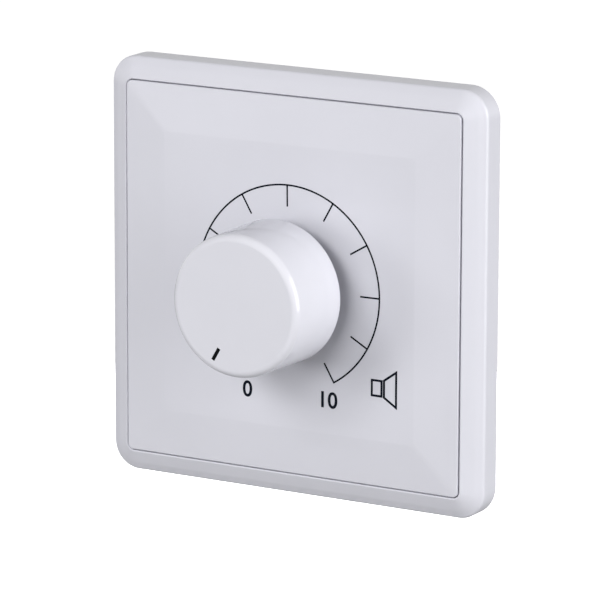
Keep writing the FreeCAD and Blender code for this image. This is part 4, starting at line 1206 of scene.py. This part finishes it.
# %% Let every new piece ride on its body
for piece in (cover, plate, scale, number_ink, sign, soldering):
    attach(piece, "control_housing")
for piece in (knob, mark):
    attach(piece, "turning_knob")
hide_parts("cover_frame")
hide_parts("centre_plate")
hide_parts("knob")
print("pieces ride on their bodies")

# %% [markdown]
# ## A pale floor
# The control hangs at its place on the wall, so the floor lies well below it. To the camera
# the floor adds a glow of its own, which makes it white, and the shadow still shows in it.

# %% Lay the floor
FLOOR_DROP = 250.0
FLOOR_SIZE = 6000
FLOOR_GREY = 0.3
WHITE = (1, 1, 1, 1)

deselect_all()
bpy.ops.mesh.primitive_plane_add(size=FLOOR_SIZE * MM, location=place(0, 0, -FLOOR_DROP))
floor = named("floor")
floor_paint, tree, shader = new_material("floor_paint")
shader.inputs["Base Color"].default_value = (FLOOR_GREY, FLOOR_GREY, FLOOR_GREY, 1)
shader.inputs["Roughness"].default_value = 0.9
path = tree.nodes.new("ShaderNodeLightPath")
shader.inputs["Emission Color"].default_value = WHITE
glow = tree.nodes.new("ShaderNodeMath")
glow.operation = "MULTIPLY"
glow.inputs[1].default_value = 1.0
tree.links.new(path.outputs["Is Camera Ray"], glow.inputs[0])
tree.links.new(glow.outputs[0], shader.inputs["Emission Strength"])
wear(floor, floor_paint)
print("floor", FLOOR_DROP, "mm below the middle")

# %% [markdown]
# ## Light
# The room looks white to the camera and in reflections, and gives only a little light of its
# own to everything else.

# %% Light the room
FILL_STRENGTH = 0.02

world = bpy.data.worlds.new("white_room")
bpy.context.scene.world = world
world.use_nodes = True
tree = world.node_tree
tree.nodes.clear()


def background(tree, strength):
    """White light of a strength from all round."""
    light = tree.nodes.new("ShaderNodeBackground")
    light.inputs["Color"].default_value = WHITE
    light.inputs["Strength"].default_value = strength
    return light.outputs[0]


def larger(tree, first, second):
    """The larger one of two numbers."""
    result = tree.nodes.new("ShaderNodeMath")
    result.operation = "MAXIMUM"
    tree.links.new(first, result.inputs[0])
    tree.links.new(second, result.inputs[1])
    return result.outputs[0]


path = tree.nodes.new("ShaderNodeLightPath").outputs
seen = larger(tree, path["Is Camera Ray"], path["Is Glossy Ray"])
choice = tree.nodes.new("ShaderNodeMixShader")
output = tree.nodes.new("ShaderNodeOutputWorld")
tree.links.new(larger(tree, seen, path["Is Transmission Ray"]), choice.inputs["Fac"])
tree.links.new(background(tree, FILL_STRENGTH), choice.inputs[1])
tree.links.new(background(tree, 1.0), choice.inputs[2])
tree.links.new(choice.outputs[0], output.inputs["Surface"])
print("room light set")

# %% [markdown]
# ## Lamps
# Lamps do the rest, as the soft boxes of a product studio do: a wide one at the right makes
# the right sides brightest, three in front and to the left throw the knob's shadow to the
# right, and one stands behind for views of the back. The front three aren't mirrored, as if
# a sheet of tracing paper hung before them, so the knob's edge keeps a mild sheen.

# %% Hang the lamps
LAMP_DISTANCE = 1000
AIM_HEIGHT = 10


def direction(to_right, upwards):
    """The way out from the control, by two angles from its front in radians."""
    return Vector(
        (
            math.sin(to_right) * math.cos(upwards),
            -math.cos(to_right) * math.cos(upwards),
            math.sin(upwards),
        )
    )


def lamp(name, to_right, upwards, width_mm, watts, mirrored=True):
    """A soft square lamp that faces the control, by two angles from its front in degrees."""
    way = direction(math.radians(to_right), math.radians(upwards))
    deselect_all()
    bpy.ops.object.light_add(type="AREA", location=way * LAMP_DISTANCE * MM)
    light = bpy.context.object
    light.name = name
    light.data.size = width_mm * MM
    light.data.energy = watts
    light.visible_glossy = mirrored
    aim = place(0, -AIM_HEIGHT, 0) - light.location
    light.rotation_euler = aim.to_track_quat("-Z", "Y").to_euler()
    return light


lamps = [
    lamp("lamp_right", 84, 12, width_mm=800, watts=10.2),
    lamp("lamp_front", 5, 18, width_mm=350, watts=3.15, mirrored=False),
    lamp("lamp_front_left", -20, 30, width_mm=350, watts=2.75, mirrored=False),
    lamp("lamp_left", -40, 5, width_mm=350, watts=2.45, mirrored=False),
    lamp("lamp_behind", -155, -10, width_mm=300, watts=6.5),
]
print(len(lamps), "lamps")

# %% [markdown]
# ## The camera
# The picture was taken with a long lens from the right and a little above. The camera's
# place and tilt are given by two angles, a roll and a distance, and its rotation is built
# from the three directions that they define. The distance and the two shifts are multiples
# of one unit, about half the width of the plate, and are counted from the middle of the
# frame's lip.

# %% Set up the camera
AZIMUTH = math.radians(30.3165)
ELEVATION = math.radians(12.6375)
ROLL = math.radians(0.18415)
UNIT = 35.6
DISTANCE = 24.2375
SHIFT_RIGHT = -0.051358
SHIFT_UP = 0.069224
PICTURE_PIXELS = 600
FOCAL_PIXELS = 4677.85
SENSOR_WIDTH = 36.0

back = direction(AZIMUTH, ELEVATION)
level = Vector((0, 0, 1)).cross(back).normalized()
upright = back.cross(level)
right = math.cos(ROLL) * level + math.sin(ROLL) * upright
up = math.cos(ROLL) * upright - math.sin(ROLL) * level
bpy.ops.object.camera_add()
camera = bpy.context.object
camera.name = "camera"
offset = DISTANCE * back - SHIFT_RIGHT * right - SHIFT_UP * up
turn = Matrix((right, up, back)).transposed().to_4x4()
camera.matrix_world = Matrix.Translation(place(0, -LIP_HEIGHT, 0) + offset * UNIT * MM) @ turn
camera.data.sensor_width = SENSOR_WIDTH
camera.data.lens = FOCAL_PIXELS / PICTURE_PIXELS * SENSOR_WIDTH
camera.data.clip_start = 0.05
camera.data.clip_end = 20
bpy.context.scene.camera = camera
bpy.context.scene.view_settings.view_transform = "Standard"
print("camera at", [round(value, 3) for value in camera.location], "lens", camera.data.lens)
